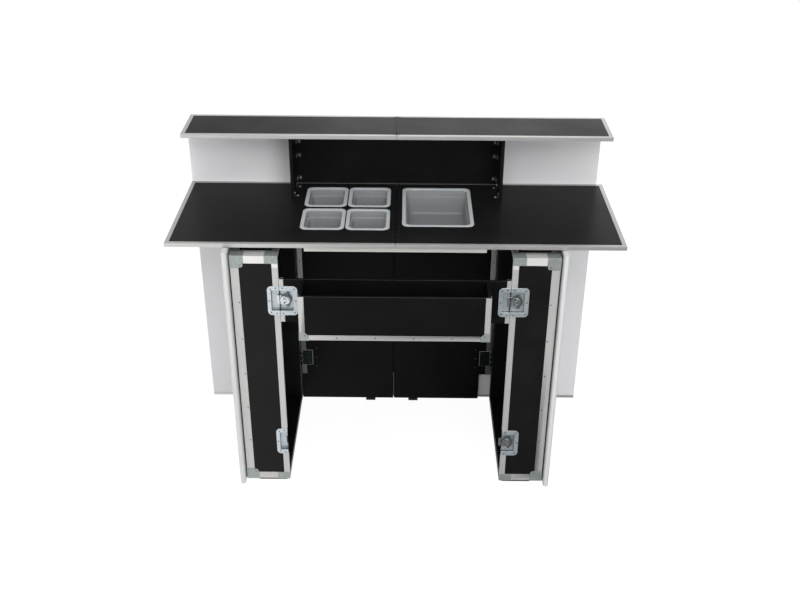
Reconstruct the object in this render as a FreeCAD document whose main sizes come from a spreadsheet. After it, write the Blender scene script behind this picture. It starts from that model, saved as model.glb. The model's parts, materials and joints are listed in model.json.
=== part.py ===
import FreeCAD, Part
import math
import os
import re

# Folding bar, set up for use. X runs along the bar, Y from the bartender to the guests,
# Z up. The origin is on the floor, in the middle of the bar. All lengths are in millimetres.

SIZES = {
    # Two half cases that carry the bar, each open towards the other
    "case_width": 170,
    "case_depth": 572,
    "case_height": 1000,
    "gap_width": 836,
    "board": 9,
    "skin": 1.5,
    "angle_leg": 30,
    "cap_leg": 45,
    "rim_width": 22,
    "rim_web": 4,
    "groove_width": 4,
    "groove_depth": 2,
    "plate": 1.5,
    "plate_reach": 48,
    "plate_tab_place": 36,
    "plate_tab_radius": 10,
    "rivet_radius": 3,
    "rivet_rise": 1,
    "rivet_pitch": 155,
    "foot_height": 12,
    "foot_length": 112,
    "foot_depth": 40,
    "foot_inset": 12,
    "foot_setback": 7,
    "middle_foot_length": 42,
    "middle_foot_depth": 30,
    "left_foot_place": 92,
    "right_foot_place": 55,
    # Bottle trough between the half cases
    "trough_reach": 127,
    "trough_inset": 80,
    "trough_height": 176,
    "trough_drop": 93,
    "trough_play": 1,
    "trough_angle": 20,
    "trough_rim": 15,
    # Folding middle of the bar
    "middle_low": 14,
    "middle_seam": 3,
    "seam_shift": 11,
    "middle_play": 2.5,
    "notch_width": 50,
    "notch_height": 129,
    "strip_width": 21,
    "strip_inset": 2,
    "strip_thickness": 1.5,
    "hinge_height": 76,
    "hinge_leaf": 49,
    "hinge_thickness": 2,
    "hinge_barrel_radius": 4.5,
    "hinge_pin_radius": 2,
    "hinge_low_place": 227,
    "hinge_high_drop": 197,
    "strip_rivet_setback": 75,
    "bearing_play": 0.05,
    "seam_hinge_leaf": 20,
    "seam_barrel_radius": 3,
    # White panels
    "panel_thickness": 18,
    "panel_gap": 3,
    "panel_height": 975,
    "panel_low": 14,
    "panel_joint": 1,
    "panel_wing": 193,
    "channel_height": 12,
    "side_gap": 6,
    "side_thickness": 20,
    "side_overhang": 24,
    "side_clearance": 2,
    "spacer_width": 20,
    "spacer_setback": 12,
    "spacer_low": 4,
    "pad_width": 36,
    "pad_height": 112,
    "pad_inset": 70,
    "inner_pad_place": 92,
    "pad_bolt_radius": 4,
    "pad_bolt_rise": 2,
    "pad_bolt_pitch": 46,
    # Work counter
    "counter_overhang": 12,
    "counter_depth": 556,
    "counter_thickness": 15,
    "counter_clearance": 1,
    "counter_joint": 1,
    "lip_width": 15,
    "batten_height": 24,
    "batten_width": 96,
    "batten_setback": 52,
    "stiffener_width": 650,
    "stiffener_depth": 18,
    "stiffener_drop": 18,
    "stiffener_setback": 10,
    "counter_hinge_leaf": 16,
    "counter_hinge_front": 24,
    "counter_hinge_back": 3,
    "seam_rivet_pitch": 34,
    "seam_rivet_radius": 2.5,
    "seam_rivet_rise": 0.8,
    "trough_rivet_pitch": 137,
    # Food pans
    "small_pan_width": 162,
    "small_pan_depth": 182,
    "large_pan_width": 265,
    "large_pan_depth": 350,
    "pan_fall": 100,
    "pan_column_gap": 4,
    "pan_row_gap": 18,
    "pan_middle_gap": 22.5,
    "pan_back_setback": 57,
    "pan_flange": 12,
    "pan_rim": 3,
    "pan_wall": 2.5,
    "pan_corner": 24,
    "pan_step_fall": 26,
    "pan_step": 5,
    "pan_taper": 10,
    "pan_clearance": 2,
    # Raised guests' top and its riser
    "riser_height": 250,
    "riser_inset": 10,
    "cheek_thickness": 12,
    "cheek_depth": 140,
    "bracket_leg": 20,
    "bracket_thickness": 2,
    "bracket_low_place": 23,
    "bracket_middle_place": 118,
    "bracket_high_place": 176,
    "bracket_front_setback": 12,
    "screw_radius": 3.5,
    "screw_rise": 1.5,
    "top_depth": 220,
    "top_thickness": 15,
    "top_overhang": 19,
    "top_leaf": 12,
    "top_leaf_thickness": 1,
    "top_barrel_radius": 2,
    "top_pin_radius": 0.9,
    "top_axis_rise": 2.3,
    "top_knuckles": 7,
    # Recessed turn latches
    "dish_height": 120,
    "latch_width": 66,
    "catch_width": 44,
    "dish_corner": 16,
    "dish_rise": 1.5,
    "seam_play": 0.5,
    "pocket_height": 84,
    "pocket_depth": 12,
    "latch_pocket": 50,
    "catch_pocket": 30,
    "pocket_wall": 1.5,
    "lower_latch_place": 197,
    "spindle_place": 19,
    "disc_radius": 18,
    "disc_thickness": 2.2,
    "boss_radius": 6,
    "knob_rise": 1.9,
    "housing_place": 23,
    "housing_radius": 21,
    "housing_thickness": 2,
    "ear_place": 29,
    "ear_drop": 21,
    "ear_radius": 7,
    "hook_width": 22,
    "hook_head_width": 36,
    "hook_head_length": 17,
    "hook_thickness": 2.5,
    "hook_tip": 10,
    "hook_tail": 15,
    "hook_travel": 6,
    "claw_thickness": 2.7,
    "lug_place": 3,
    "lug_thickness": 3,
    "lug_height": 3.7,
    "lug_width": 30,
    "moving_gap": 0.3,
    "bow_outer_radius": 15,
    "bow_inner_radius": 8.5,
    "bow_thickness": 2,
    "bow_pin_radius": 0.6,
    "eye_width": 3.2,
    "eye_thickness": 2,
    "dish_rivet_inset": 12,
    "dish_rivet_edge": 7,
    # One length past a face, shared by all cuts
    "overrun": 5,
}

doc = FreeCAD.newDocument("folding_bar")
sheet = doc.addObject("Spreadsheet::Sheet", "Sizes")
for row, (name, number) in enumerate(SIZES.items(), start=1):
    sheet.set(f"A{row}", name)
    sheet.set(f"B{row}", str(number))
    sheet.setAlias(f"B{row}", name)
doc.recompute()
mm = {name: float(sheet.get(name)) for name in SIZES}

SIDES = (("left", -1), ("right", 1))
nodes = {}

# Places along the three axes, as formulas in the names of the sizes
CASE_IN = "gap_width / 2"
CASE_OUT = "(gap_width / 2 + case_width)"
IN_FRONT = "(case_depth + trough_reach + plate + rivet_rise)"
CASE_BACK = f"(({IN_FRONT} - panel_gap - panel_thickness - top_overhang) / 2)"
CASE_FRONT = f"({CASE_BACK} - case_depth)"
CASE_LOW = "foot_height"
CASE_TOP = "(foot_height + case_height)"
COUNTER_LOW = f"({CASE_TOP} + batten_height)"
COUNTER_TOP = f"({COUNTER_LOW} + counter_thickness)"
TOP_LOW = f"({COUNTER_TOP} + riser_height)"
TOP_TOP = f"({TOP_LOW} + top_thickness)"
TROUGH_TOP = f"({CASE_TOP} - trough_drop)"
TROUGH_LOW = f"({TROUGH_TOP} - trough_height)"
TROUGH_FRONT = f"({CASE_FRONT} - trough_reach)"
UPPER_LATCH = f"({TROUGH_TOP} - trough_height / 2)"
FACE = f"({CASE_FRONT} + skin)"
PANEL_IN = f"({CASE_BACK} + panel_gap)"
PANEL_OUT = f"({PANEL_IN} + panel_thickness)"
COUNTER_BACK = f"({PANEL_IN} - counter_clearance)"
COUNTER_FRONT = f"({COUNTER_BACK} - counter_depth)"
TOP_BACK = f"({PANEL_OUT} + top_overhang)"
TOP_FRONT = f"({TOP_BACK} - top_depth)"
FRONT_HALF = f"({CASE_OUT} + side_gap + side_thickness + panel_wing)"
COUNTER_HALF = f"({FRONT_HALF} + counter_overhang)"
MIDDLE_OUT = f"({CASE_BACK} - skin)"
MIDDLE_IN = f"({MIDDLE_OUT} - board)"


def bind(item, path, formula):
    """Tie one property to a formula, with each size name read from the sheet."""
    item.setExpression(path, re.sub(r"[a-z_]{2,}", r"Sizes.\g<0>", formula))


def place(item, x, y, z, rotation=None):
    """Put an object at three formulas, turned first if a rotation is given."""
    if rotation is not None:
        item.Placement = FreeCAD.Placement(FreeCAD.Vector(), rotation)
    for axis, formula in zip("xyz", (x, y, z)):
        bind(item, f"Placement.Base.{axis}", formula)
    return item


def across(sign, near, far):
    """The span along X between two distances from the middle, on the left or the right."""
    return (near, far) if sign > 0 else (f"-({far})", f"-({near})")


def slab(x, y, z):
    """A square-edged block between the low and high formulas given for each axis."""
    piece = doc.addObject("Part::Box", "Slab")
    for side, (low, high) in zip(("Length", "Width", "Height"), (x, y, z)):
        bind(piece, side, f"({high}) - ({low})")
    return place(piece, x[0], y[0], z[0])


def cut(base, *tools):
    """The base with every tool taken away."""
    for tool in tools:
        step = doc.addObject("Part::Cut", "Cut")
        step.Base = base
        step.Tool = tool
        base = step
    return base


def join(*pieces):
    """Several touching shapes made one solid."""
    whole = doc.addObject("Part::MultiFuse", "Join")
    whole.Shapes = list(pieces)
    whole.Refine = True
    return whole


def group(pieces):
    """Several separate solids kept together."""
    whole = doc.addObject("Part::Compound", "Group")
    whole.Links = list(pieces)
    return whole


def shape(solid, x, y, z):
    """A shape made at its own origin, put at three formulas."""
    piece = doc.addObject("Part::Feature", "Shape")
    piece.Shape = solid
    return place(piece, x, y, z)


def node(name, item):
    """Name a finished sub-part."""
    item.Label = name
    nodes[name] = item
    return item


def button(x, y, z, facing, radius="rivet_radius", rise="rivet_rise"):
    """A low round head on a face. Facing is the axis that the head points along."""
    turns = {
        "front": FreeCAD.Rotation(FreeCAD.Vector(1, 0, 0), 90),
        "up": FreeCAD.Rotation(),
        "right": FreeCAD.Rotation(FreeCAD.Vector(0, 1, 0), 90),
        "left": FreeCAD.Rotation(FreeCAD.Vector(0, 1, 0), -90),
    }
    head = doc.addObject("Part::Cone", "Head")
    bind(head, "Radius1", radius)
    bind(head, "Radius2", f"{radius} * 3 / 5")
    bind(head, "Height", rise)
    return place(head, x, y, z, turns[facing])


# Half cases. Each has an outer side board, two end boards, a top and a bottom board,
# and is open on the inner side. The boards sit one skin inside the case's outer faces.
CASE_Y = (FACE, f"{CASE_BACK} - skin")
CASE_Z = (f"{CASE_LOW} + skin", f"{CASE_TOP} - skin")
LATCH_PLACES = (UPPER_LATCH, "lower_latch_place")


def pocket_hole(sign, pocket, middle, y):
    """The hole that a latch pocket needs in the board that it sits in."""
    span = across(sign, f"{CASE_IN} - overrun", f"{CASE_IN} + {pocket} + pocket_wall + moving_gap")
    half = "(pocket_height / 2 + pocket_wall + moving_gap)"
    return slab(span, y, (f"{middle} - {half}", f"{middle} + {half}"))


end_boards = []
cap_boards = []
for side, sign in SIDES:
    side_x = across(sign, f"{CASE_OUT} - skin - board", f"{CASE_OUT} - skin")
    node(f"case_side_board_{side}", slab(side_x, CASE_Y, CASE_Z))
    inner_x = across(sign, f"{CASE_IN} + rim_web", f"{CASE_OUT} - skin - board")
    front = slab(inner_x, (FACE, f"{FACE} + board"), CASE_Z)
    pocket = "catch_pocket" if side == "left" else "latch_pocket"
    hole_y = (f"{FACE} - overrun", f"{FACE} + board + overrun")
    end_boards.append(cut(front, *[pocket_hole(sign, pocket, middle, hole_y) for middle in LATCH_PLACES]))
    end_boards.append(slab(inner_x, (f"{CASE_Y[1]} - board", CASE_Y[1]), CASE_Z))
    cap_y = (f"{FACE} + board", f"{CASE_Y[1]} - board")
    cap_boards.append(slab(inner_x, cap_y, (f"{CASE_Z[1]} - board", CASE_Z[1])))
    cap_boards.append(slab(inner_x, cap_y, (CASE_Z[0], f"{CASE_Z[0]} + board")))
node("case_end_boards", group(end_boards))
node("case_cap_boards", group(cap_boards))


# Aluminium angles on the eight closed edges of each half case. They stop short of the
# corners, where the corner plates take over, and reach further over the top and bottom
# boards along the front and back edges.
def angle(first, second):
    """An angle made of two legs that overlap along the edge."""
    return join(slab(*first), slab(*second))


angles = []
for side, sign in SIDES:
    leg_x = across(sign, f"{CASE_OUT} - angle_leg", CASE_OUT)
    thin_x = across(sign, f"{CASE_OUT} - skin", CASE_OUT)
    run_x = across(sign, f"{CASE_IN} + rim_width", f"{CASE_OUT} - angle_leg")
    run_y = (f"{CASE_FRONT} + angle_leg", f"{CASE_BACK} - angle_leg")
    run_z = (f"{CASE_LOW} + angle_leg", f"{CASE_TOP} - angle_leg")
    ends_y = (
        ((CASE_FRONT, f"{CASE_FRONT} + angle_leg"), (CASE_FRONT, f"{CASE_FRONT} + skin")),
        ((f"{CASE_BACK} - angle_leg", CASE_BACK), (f"{CASE_BACK} - skin", CASE_BACK)),
    )
    caps_y = ((CASE_FRONT, f"{CASE_FRONT} + cap_leg"), (f"{CASE_BACK} - cap_leg", CASE_BACK))
    ends_z = (
        ((CASE_LOW, f"{CASE_LOW} + angle_leg"), (CASE_LOW, f"{CASE_LOW} + skin")),
        ((f"{CASE_TOP} - angle_leg", CASE_TOP), (f"{CASE_TOP} - skin", CASE_TOP)),
    )
    for leg_y, thin_y in ends_y:
        angles.append(angle((leg_x, thin_y, run_z), (thin_x, leg_y, run_z)))
    for leg_z, thin_z in ends_z:
        angles.append(angle((leg_x, run_y, thin_z), (thin_x, run_y, leg_z)))
    for (leg_y, thin_y), cap_y in zip(ends_y, caps_y):
        for leg_z, thin_z in ends_z:
            angles.append(angle((run_x, thin_y, leg_z), (run_x, cap_y, thin_z)))
node("case_edge_angles", group(angles))


# Rim profiles on the open side of each half case: a flange on the outer face, a web over
# the board's edge, and the groove that the other half's tongue enters when it is closed.
def rim_bar(sign, y, z, upright, toward):
    """One straight length of rim. Toward is +1 if the case's inside lies at larger Y or Z."""
    inner = f"{CASE_IN}"
    edge = "(skin + board)"
    if upright:
        flange_y = (y, f"{y} + skin") if toward > 0 else (f"{y} - skin", y)
        web_y = (y, f"{y} + {edge}") if toward > 0 else (f"{y} - {edge}", y)
        middle = f"({y} + ({toward}) * {edge} / 2)"
        groove = (f"{middle} - groove_width / 2", f"{middle} + groove_width / 2")
        flange = slab(across(sign, inner, f"{inner} + rim_width"), flange_y, z)
        web = slab(across(sign, inner, f"{inner} + rim_web"), web_y, z)
        run = (f"{z[0]} - overrun", f"{z[1]} + overrun")
        slot = slab(across(sign, f"{inner} - overrun", f"{inner} + groove_depth"), groove, run)
        return cut(join(flange, web), slot)
    flange_z = (z, f"{z} + skin") if toward > 0 else (f"{z} - skin", z)
    web_z = (z, f"{z} + {edge}") if toward > 0 else (f"{z} - {edge}", z)
    middle = f"({z} + ({toward}) * {edge} / 2)"
    groove = (f"{middle} - groove_width / 2", f"{middle} + groove_width / 2")
    flange = slab(across(sign, inner, f"{inner} + rim_width"), y, flange_z)
    web = slab(across(sign, inner, f"{inner} + rim_web"), y, web_z)
    run = (f"{y[0]} - overrun", f"{y[1]} + overrun")
    slot = slab(across(sign, f"{inner} - overrun", f"{inner} + groove_depth"), run, groove)
    return cut(join(flange, web), slot)


DISH_HALF = "(dish_height / 2 + moving_gap)"
rims = []
for side, sign in SIDES:
    spans = (
        (CASE_LOW, f"lower_latch_place - {DISH_HALF}"),
        (f"lower_latch_place + {DISH_HALF}", f"{UPPER_LATCH} - {DISH_HALF}"),
        (f"{UPPER_LATCH} + {DISH_HALF}", CASE_TOP),
    )
    for span in spans:
        rims.append(rim_bar(sign, CASE_FRONT, span, True, 1))
    rims.append(rim_bar(sign, CASE_BACK, (CASE_LOW, CASE_TOP), True, -1))
    run_y = (f"{CASE_FRONT} + skin + board", f"{CASE_BACK} - skin - board")
    rims.append(rim_bar(sign, run_y, CASE_LOW, False, 1))
    rims.append(rim_bar(sign, run_y, CASE_TOP, False, -1))
node("case_rim_profiles", group(rims))


# Pressed corner plates. The outer ones cap three faces and have a round tab on each,
# and the ones at the rim wrap two faces.
def outer_plate():
    """Plate at a corner at the origin, with the case in the positive octant."""
    thick = mm["plate"]
    reach = mm["plate_reach"] + thick
    leg = mm["angle_leg"] + thick
    tab = mm["plate_tab_place"]
    start = FreeCAD.Vector(-thick, -thick, -thick)
    solid = Part.makeBox(reach, mm["cap_leg"] + thick, thick, start)
    solid = solid.fuse(Part.makeBox(leg, reach, thick, start))
    solid = solid.fuse(Part.makeBox(leg, thick, reach, start))
    solid = solid.fuse(Part.makeBox(reach, thick, leg, start))
    solid = solid.fuse(Part.makeBox(thick, reach, leg, start))
    solid = solid.fuse(Part.makeBox(thick, leg, reach, start))
    round_tab = mm["plate_tab_radius"]
    for middle, axis in (
        (FreeCAD.Vector(tab, tab, -thick), FreeCAD.Vector(0, 0, 1)),
        (FreeCAD.Vector(tab, -thick, tab), FreeCAD.Vector(0, 1, 0)),
        (FreeCAD.Vector(-thick, tab, tab), FreeCAD.Vector(1, 0, 0)),
    ):
        solid = solid.fuse(Part.makeCylinder(round_tab, thick, middle, axis))
    return solid.removeSplitter()


def rim_plate():
    """Plate at a rim corner at the origin, with the case in the positive octant."""
    thick = mm["plate"]
    start = FreeCAD.Vector(0, -thick, -thick)
    leg = mm["angle_leg"] + thick
    front = Part.makeBox(mm["plate_reach"], thick, leg, start)
    cap = Part.makeBox(mm["plate_reach"], mm["cap_leg"] + thick, thick, start)
    return front.fuse(cap).removeSplitter()


def turned(solid, signs):
    """The solid mirrored along each axis whose sign is negative."""
    axes = (FreeCAD.Vector(1, 0, 0), FreeCAD.Vector(0, 1, 0), FreeCAD.Vector(0, 0, 1))
    for sign, axis in zip(signs, axes):
        if sign < 0:
            solid = solid.mirror(FreeCAD.Vector(), axis)
    return solid


plates = []
for side, sign in SIDES:
    outer_x = f"({sign}) * {CASE_OUT}"
    inner_x = f"({sign}) * {CASE_IN}"
    for y, along_y in ((CASE_FRONT, 1), (CASE_BACK, -1)):
        for z, along_z in ((CASE_LOW, 1), (CASE_TOP, -1)):
            plates.append(shape(turned(outer_plate(), (-sign, along_y, along_z)), outer_x, y, z))
            plates.append(shape(turned(rim_plate(), (sign, along_y, along_z)), inner_x, y, z))
node("case_corner_plates", group(plates))

# Rivets that show on the cases: one line down each outer front angle, one on the front tab
# of each outer plate, one on its top tab, and two on top of each upper rim plate
def run_of(length, pitch):
    """Places along a run, either side of its middle, one pitch apart."""
    count = int((length + pitch) // pitch)
    return [number - (count - 1) / 2 for number in range(count)]


rivets = []
straight = mm["case_height"] - 2 * mm["plate_reach"] - mm["rivet_pitch"]
for side, sign in SIDES:
    line_x = f"({sign}) * ({CASE_OUT} - angle_leg + 2 * rivet_radius)"
    for step in run_of(straight, mm["rivet_pitch"]):
        line_z = f"{CASE_LOW} + case_height / 2 + ({step}) * rivet_pitch"
        rivets.append(button(line_x, CASE_FRONT, line_z, "front"))
    for z, along_z in ((CASE_LOW, 1), (CASE_TOP, -1)):
        tab_x = f"({sign}) * ({CASE_OUT} - plate_tab_place)"
        tab_z = f"{z} + ({along_z}) * plate_tab_place"
        rivets.append(button(tab_x, f"{CASE_FRONT} - plate", tab_z, "front"))
    top_y = f"{CASE_FRONT} + plate_tab_place"
    for share in (1, 3):
        top_x = f"({sign}) * ({CASE_IN} + plate_reach * {share} / 4)"
        rivets.append(button(top_x, top_y, f"{CASE_TOP} + plate", "up"))
    rivets.append(button(tab_x, top_y, f"{CASE_TOP} + plate", "up"))

# Feet: two rubber skids under each half case and two small blocks under the middle boards
feet = []
for side, sign in SIDES:
    skid_x = across(sign, f"{CASE_IN} + foot_inset", f"{CASE_IN} + foot_inset + foot_length")
    front_y = (f"{CASE_FRONT} + foot_setback", f"{CASE_FRONT} + foot_setback + foot_depth")
    back_y = (f"{CASE_BACK} - foot_setback - foot_depth", f"{CASE_BACK} - foot_setback")
    inner_plate = (f"{CASE_FRONT} + cap_leg", f"{CASE_BACK} - cap_leg")
    for skid_y, notch_y in (
        (front_y, (f"{CASE_FRONT} - plate", f"{inner_plate[0]}")),
        (back_y, (f"{inner_plate[1]}", f"{CASE_BACK} + plate")),
    ):
        skid = slab(skid_x, skid_y, ("0", CASE_LOW))
        notch_x = across(sign, f"{CASE_IN} - overrun", f"{CASE_IN} + plate_reach")
        far_x = across(sign, f"{CASE_OUT} - plate_reach", f"{CASE_OUT} + overrun")
        notch_z = (f"{CASE_LOW} - plate", f"{CASE_LOW} + overrun")
        tools = [slab(span, notch_y, notch_z) for span in (notch_x, far_x)]
        feet.append(cut(skid, *tools))
    block_x = across(sign, f"{side}_foot_place", f"{side}_foot_place + middle_foot_length")
    block_y = (MIDDLE_IN, f"{MIDDLE_IN} + middle_foot_depth")
    feet.append(slab(block_x, block_y, ("0", "middle_low")))
node("feet", group(feet))


# Recessed turn latches. Each dish is made round the seam that it closes: X runs away from
# the seam, Y = 0 is the board's face, and the pocket lies behind it.
def rounded_plate(width, height, corner, low, high):
    """A plate from the seam outwards, with its two far corners rounded."""
    half = height / 2
    start = mm["seam_play"]
    diagonal = corner * (1 - math.cos(math.pi / 4))
    points = [
        FreeCAD.Vector(start, low, -half),
        FreeCAD.Vector(width - corner, low, -half),
        FreeCAD.Vector(width - diagonal, low, -half + diagonal),
        FreeCAD.Vector(width, low, -half + corner),
        FreeCAD.Vector(width, low, half - corner),
        FreeCAD.Vector(width - diagonal, low, half - diagonal),
        FreeCAD.Vector(width - corner, low, half),
        FreeCAD.Vector(start, low, half),
    ]
    edges = [
        Part.makeLine(points[0], points[1]),
        Part.Arc(points[1], points[2], points[3]).toShape(),
        Part.makeLine(points[3], points[4]),
        Part.Arc(points[4], points[5], points[6]).toShape(),
        Part.makeLine(points[6], points[7]),
        Part.makeLine(points[7], points[0]),
    ]
    return Part.Face(Part.Wire(edges)).extrude(FreeCAD.Vector(0, high - low, 0))


def dish(width, pocket):
    """Flange and pocket of one half of a latch, open at the seam."""
    rise = mm["skin"] + mm["dish_rise"]
    wall = mm["pocket_wall"]
    half = mm["pocket_height"] / 2
    fall = mm["pocket_depth"]
    past = mm["overrun"]
    start = mm["seam_play"]
    flange = rounded_plate(width, mm["dish_height"], mm["dish_corner"], -rise, 0)
    corner = FreeCAD.Vector(start, 0, -half - wall)
    tray = Part.makeBox(pocket + wall - start, fall + wall, 2 * half + 2 * wall, corner)
    inside_start = FreeCAD.Vector(-past, -rise - past, -half)
    inside = Part.makeBox(pocket + past, fall + rise + past, 2 * half, inside_start)
    return flange.fuse(tray).cut(inside).removeSplitter()


# Depths of the latch parts behind the face, stacked from the pocket's floor forwards
HOOK_BACK = mm["pocket_depth"] - mm["lug_height"] - mm["moving_gap"]
HOOK_FACE = HOOK_BACK - mm["hook_thickness"]
HOUSING_FACE = HOOK_FACE - mm["moving_gap"] - mm["housing_thickness"]
DISC_FACE = HOUSING_FACE - mm["moving_gap"] - mm["disc_thickness"]
BOW_FACE = DISC_FACE - mm["moving_gap"] - mm["bow_thickness"]
BOW_AXIS = BOW_FACE + mm["bow_thickness"] / 2
INWARD = FreeCAD.Vector(0, 1, 0)


def drum(radius, x, z, front, back):
    """A round solid along Y between two depths behind the face."""
    return Part.makeCylinder(radius, back - front, FreeCAD.Vector(x, front, z), INWARD)


def block(low_x, high_x, front, back, half):
    """A square-edged solid as high above the latch's middle as below it."""
    return Part.makeBox(high_x - low_x, back - front, 2 * half, FreeCAD.Vector(low_x, front, -half))


def latch_half():
    """Dish half with the housing that the spindle turns in, on two posts."""
    floor = mm["pocket_depth"]
    back = HOUSING_FACE + mm["housing_thickness"]
    housing = drum(mm["housing_radius"], mm["housing_place"], 0, HOUSING_FACE, back)
    for z in (-mm["ear_drop"], mm["ear_drop"]):
        housing = housing.fuse(drum(mm["ear_radius"], mm["ear_place"], z, HOUSING_FACE, floor))
    bearing = drum(mm["boss_radius"] + mm["bearing_play"], mm["spindle_place"], 0, HOUSING_FACE, back)
    return dish(mm["latch_width"], mm["latch_pocket"]).fuse(housing.cut(bearing)).removeSplitter()


def catch():
    """Dish half with the lug that the hook pulls on, on the other side of the seam."""
    floor = mm["pocket_depth"]
    far = mm["lug_place"] + mm["lug_thickness"]
    lug = block(mm["lug_place"], far, floor - mm["lug_height"], floor, mm["lug_width"] / 2)
    return turned(dish(mm["catch_width"], mm["catch_pocket"]).fuse(lug), (-1, 1, 1))


def hook():
    """Flat hook with a wide head, a claw behind the lug and a slot round the boss."""
    tip = -mm["hook_tip"]
    tail = mm["spindle_place"] + mm["hook_tail"]
    head_half = mm["hook_head_width"] / 2
    claw_back = mm["pocket_depth"] - mm["moving_gap"]
    solid = block(tip, tail, HOOK_FACE, HOOK_BACK, mm["hook_width"] / 2)
    solid = solid.fuse(block(tip, tip + mm["hook_head_length"], HOOK_FACE, HOOK_BACK, head_half))
    solid = solid.fuse(block(tip, tip + mm["claw_thickness"], HOOK_FACE, claw_back, head_half))
    slot_radius = mm["boss_radius"] + mm["moving_gap"]
    near = mm["spindle_place"]
    far = near + mm["hook_travel"]
    front = HOOK_FACE - mm["overrun"]
    back = HOOK_BACK + mm["overrun"]
    for x in (near, far):
        solid = solid.cut(drum(slot_radius, x, 0, front, back))
    return solid.cut(block(near, far, front, back, slot_radius)).removeSplitter()


def spindle():
    """Turning disc with a knob in front, a boss to the pocket's floor and two eyes for the bow."""
    x = mm["spindle_place"]
    disc = drum(mm["disc_radius"], x, 0, DISC_FACE, DISC_FACE + mm["disc_thickness"])
    boss_back = mm["pocket_depth"] - mm["moving_gap"]
    boss = drum(mm["boss_radius"], x, 0, DISC_FACE - mm["knob_rise"], boss_back)
    solid = disc.fuse(boss)
    half = mm["eye_width"] / 2
    low = mm["bow_outer_radius"] + mm["moving_gap"]
    for z in (low, -low - mm["eye_thickness"]):
        corner = FreeCAD.Vector(x - half, BOW_AXIS - half, z)
        eye = Part.makeBox(mm["eye_width"], DISC_FACE - BOW_AXIS + half, mm["eye_thickness"], corner)
        solid = solid.fuse(eye)
    reach = mm["disc_radius"]
    bore_start = FreeCAD.Vector(x, BOW_AXIS, -reach)
    up = FreeCAD.Vector(0, 0, 1)
    bore_radius = mm["bow_pin_radius"] + mm["bearing_play"]
    bore = Part.makeCylinder(bore_radius, reach - low + mm["moving_gap"], bore_start, up)
    solid = solid.cut(bore)
    bore.translate(FreeCAD.Vector(0, 0, reach + low - mm["moving_gap"]))
    return solid.cut(bore).removeSplitter()


def bow():
    """Half-ring grip over the disc, away from the seam, with a pin at each end in the eyes."""
    x = mm["spindle_place"]
    outer = mm["bow_outer_radius"]
    inner = mm["bow_inner_radius"]
    back = BOW_FACE + mm["bow_thickness"]
    ring = drum(outer, x, 0, BOW_FACE, back).cut(drum(inner, x, 0, BOW_FACE, back))
    solid = ring.common(block(x, x + outer, BOW_FACE, back, outer))
    up = FreeCAD.Vector(0, 0, 1)
    pin_length = mm["moving_gap"] + mm["eye_thickness"]
    for low, high, pin in ((-outer, -inner, -outer - pin_length), (inner, outer, outer)):
        end_start = FreeCAD.Vector(x, BOW_AXIS, low)
        pin_start = FreeCAD.Vector(x, BOW_AXIS, pin)
        solid = solid.fuse(Part.makeCylinder(mm["bow_thickness"] / 2, high - low, end_start, up))
        solid = solid.fuse(Part.makeCylinder(mm["bow_pin_radius"], pin_length, pin_start, up))
    return solid.removeSplitter()


def heads(places, face):
    """Rivet heads at places across a face of the latch."""
    radius = mm["rivet_radius"]
    rise = mm["rivet_rise"]
    starts = [FreeCAD.Vector(x, face, z) for x, z in places]
    return Part.Compound([Part.makeCone(radius, radius * 3 / 5, rise, start, -INWARD) for start in starts])


def flange_rivets(width, sign):
    """Heads on the flange of one dish half: two by the seam, one each far corner, one between."""
    top = mm["dish_height"] / 2
    inset = mm["dish_rivet_inset"]
    edge = mm["dish_rivet_edge"]
    places = [(sign * (width - edge), 0)]
    for up in (-1, 1):
        places.append((sign * (width - inset), up * (top - inset)))
        places.append((sign * inset, up * (top - edge)))
    return heads(places, -mm["skin"] - mm["dish_rise"])


LATCHES = (
    ("upper_left", f"-({CASE_IN})", UPPER_LATCH),
    ("upper_right", CASE_IN, UPPER_LATCH),
    ("lower", CASE_IN, "lower_latch_place"),
)
CATCHES = (
    (f"-({CASE_IN})", UPPER_LATCH),
    (CASE_IN, UPPER_LATCH),
    (f"-({CASE_IN})", "lower_latch_place"),
)
node("latch_dishes", group([shape(latch_half(), x, FACE, z) for name, x, z in LATCHES]))
node("latch_catches", group([shape(catch(), x, FACE, z) for x, z in CATCHES]))
for name, x, z in LATCHES:
    node(f"latch_hook_{name}", shape(hook(), x, FACE, z))
    node(f"latch_spindle_{name}", shape(spindle(), x, FACE, z))
    node(f"latch_bow_{name}", shape(bow(), x, FACE, z))
    rivets.append(shape(flange_rivets(mm["latch_width"], 1), x, FACE, z))
    ears = [(mm["ear_place"], -mm["ear_drop"]), (mm["ear_place"], mm["ear_drop"])]
    rivets.append(shape(heads(ears, HOUSING_FACE), x, FACE, z))
for x, z in CATCHES:
    rivets.append(shape(flange_rivets(mm["catch_width"], -1), x, FACE, z))

# Bottle trough: a back board that reaches from case to case, and an open box in front of it
arm = f"({CASE_IN} - trough_play)"
BOX_HALF = f"({CASE_IN} - trough_inset)"
back_board = slab(
    (f"-{arm} + skin", f"{arm} - skin"), (FACE, f"{FACE} + board"), (TROUGH_LOW, TROUGH_TOP)
)
hole_y = (f"{FACE} - overrun", f"{FACE} + board + overrun")
half_hole = "(pocket_height / 2 + pocket_wall + moving_gap)"
left_hole = slab(
    (f"-({CASE_IN}) - overrun", f"-({CASE_IN}) + latch_pocket + pocket_wall + moving_gap"),
    hole_y,
    (f"{UPPER_LATCH} - {half_hole}", f"{UPPER_LATCH} + {half_hole}"),
)
right_hole = slab(
    (f"{CASE_IN} - catch_pocket - pocket_wall - moving_gap", f"{CASE_IN} + overrun"),
    hole_y,
    (f"{UPPER_LATCH} - {half_hole}", f"{UPPER_LATCH} + {half_hole}"),
)
node("trough_back_board", cut(back_board, left_hole, right_hole))
box_out = f"({BOX_HALF} - skin)"
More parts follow.
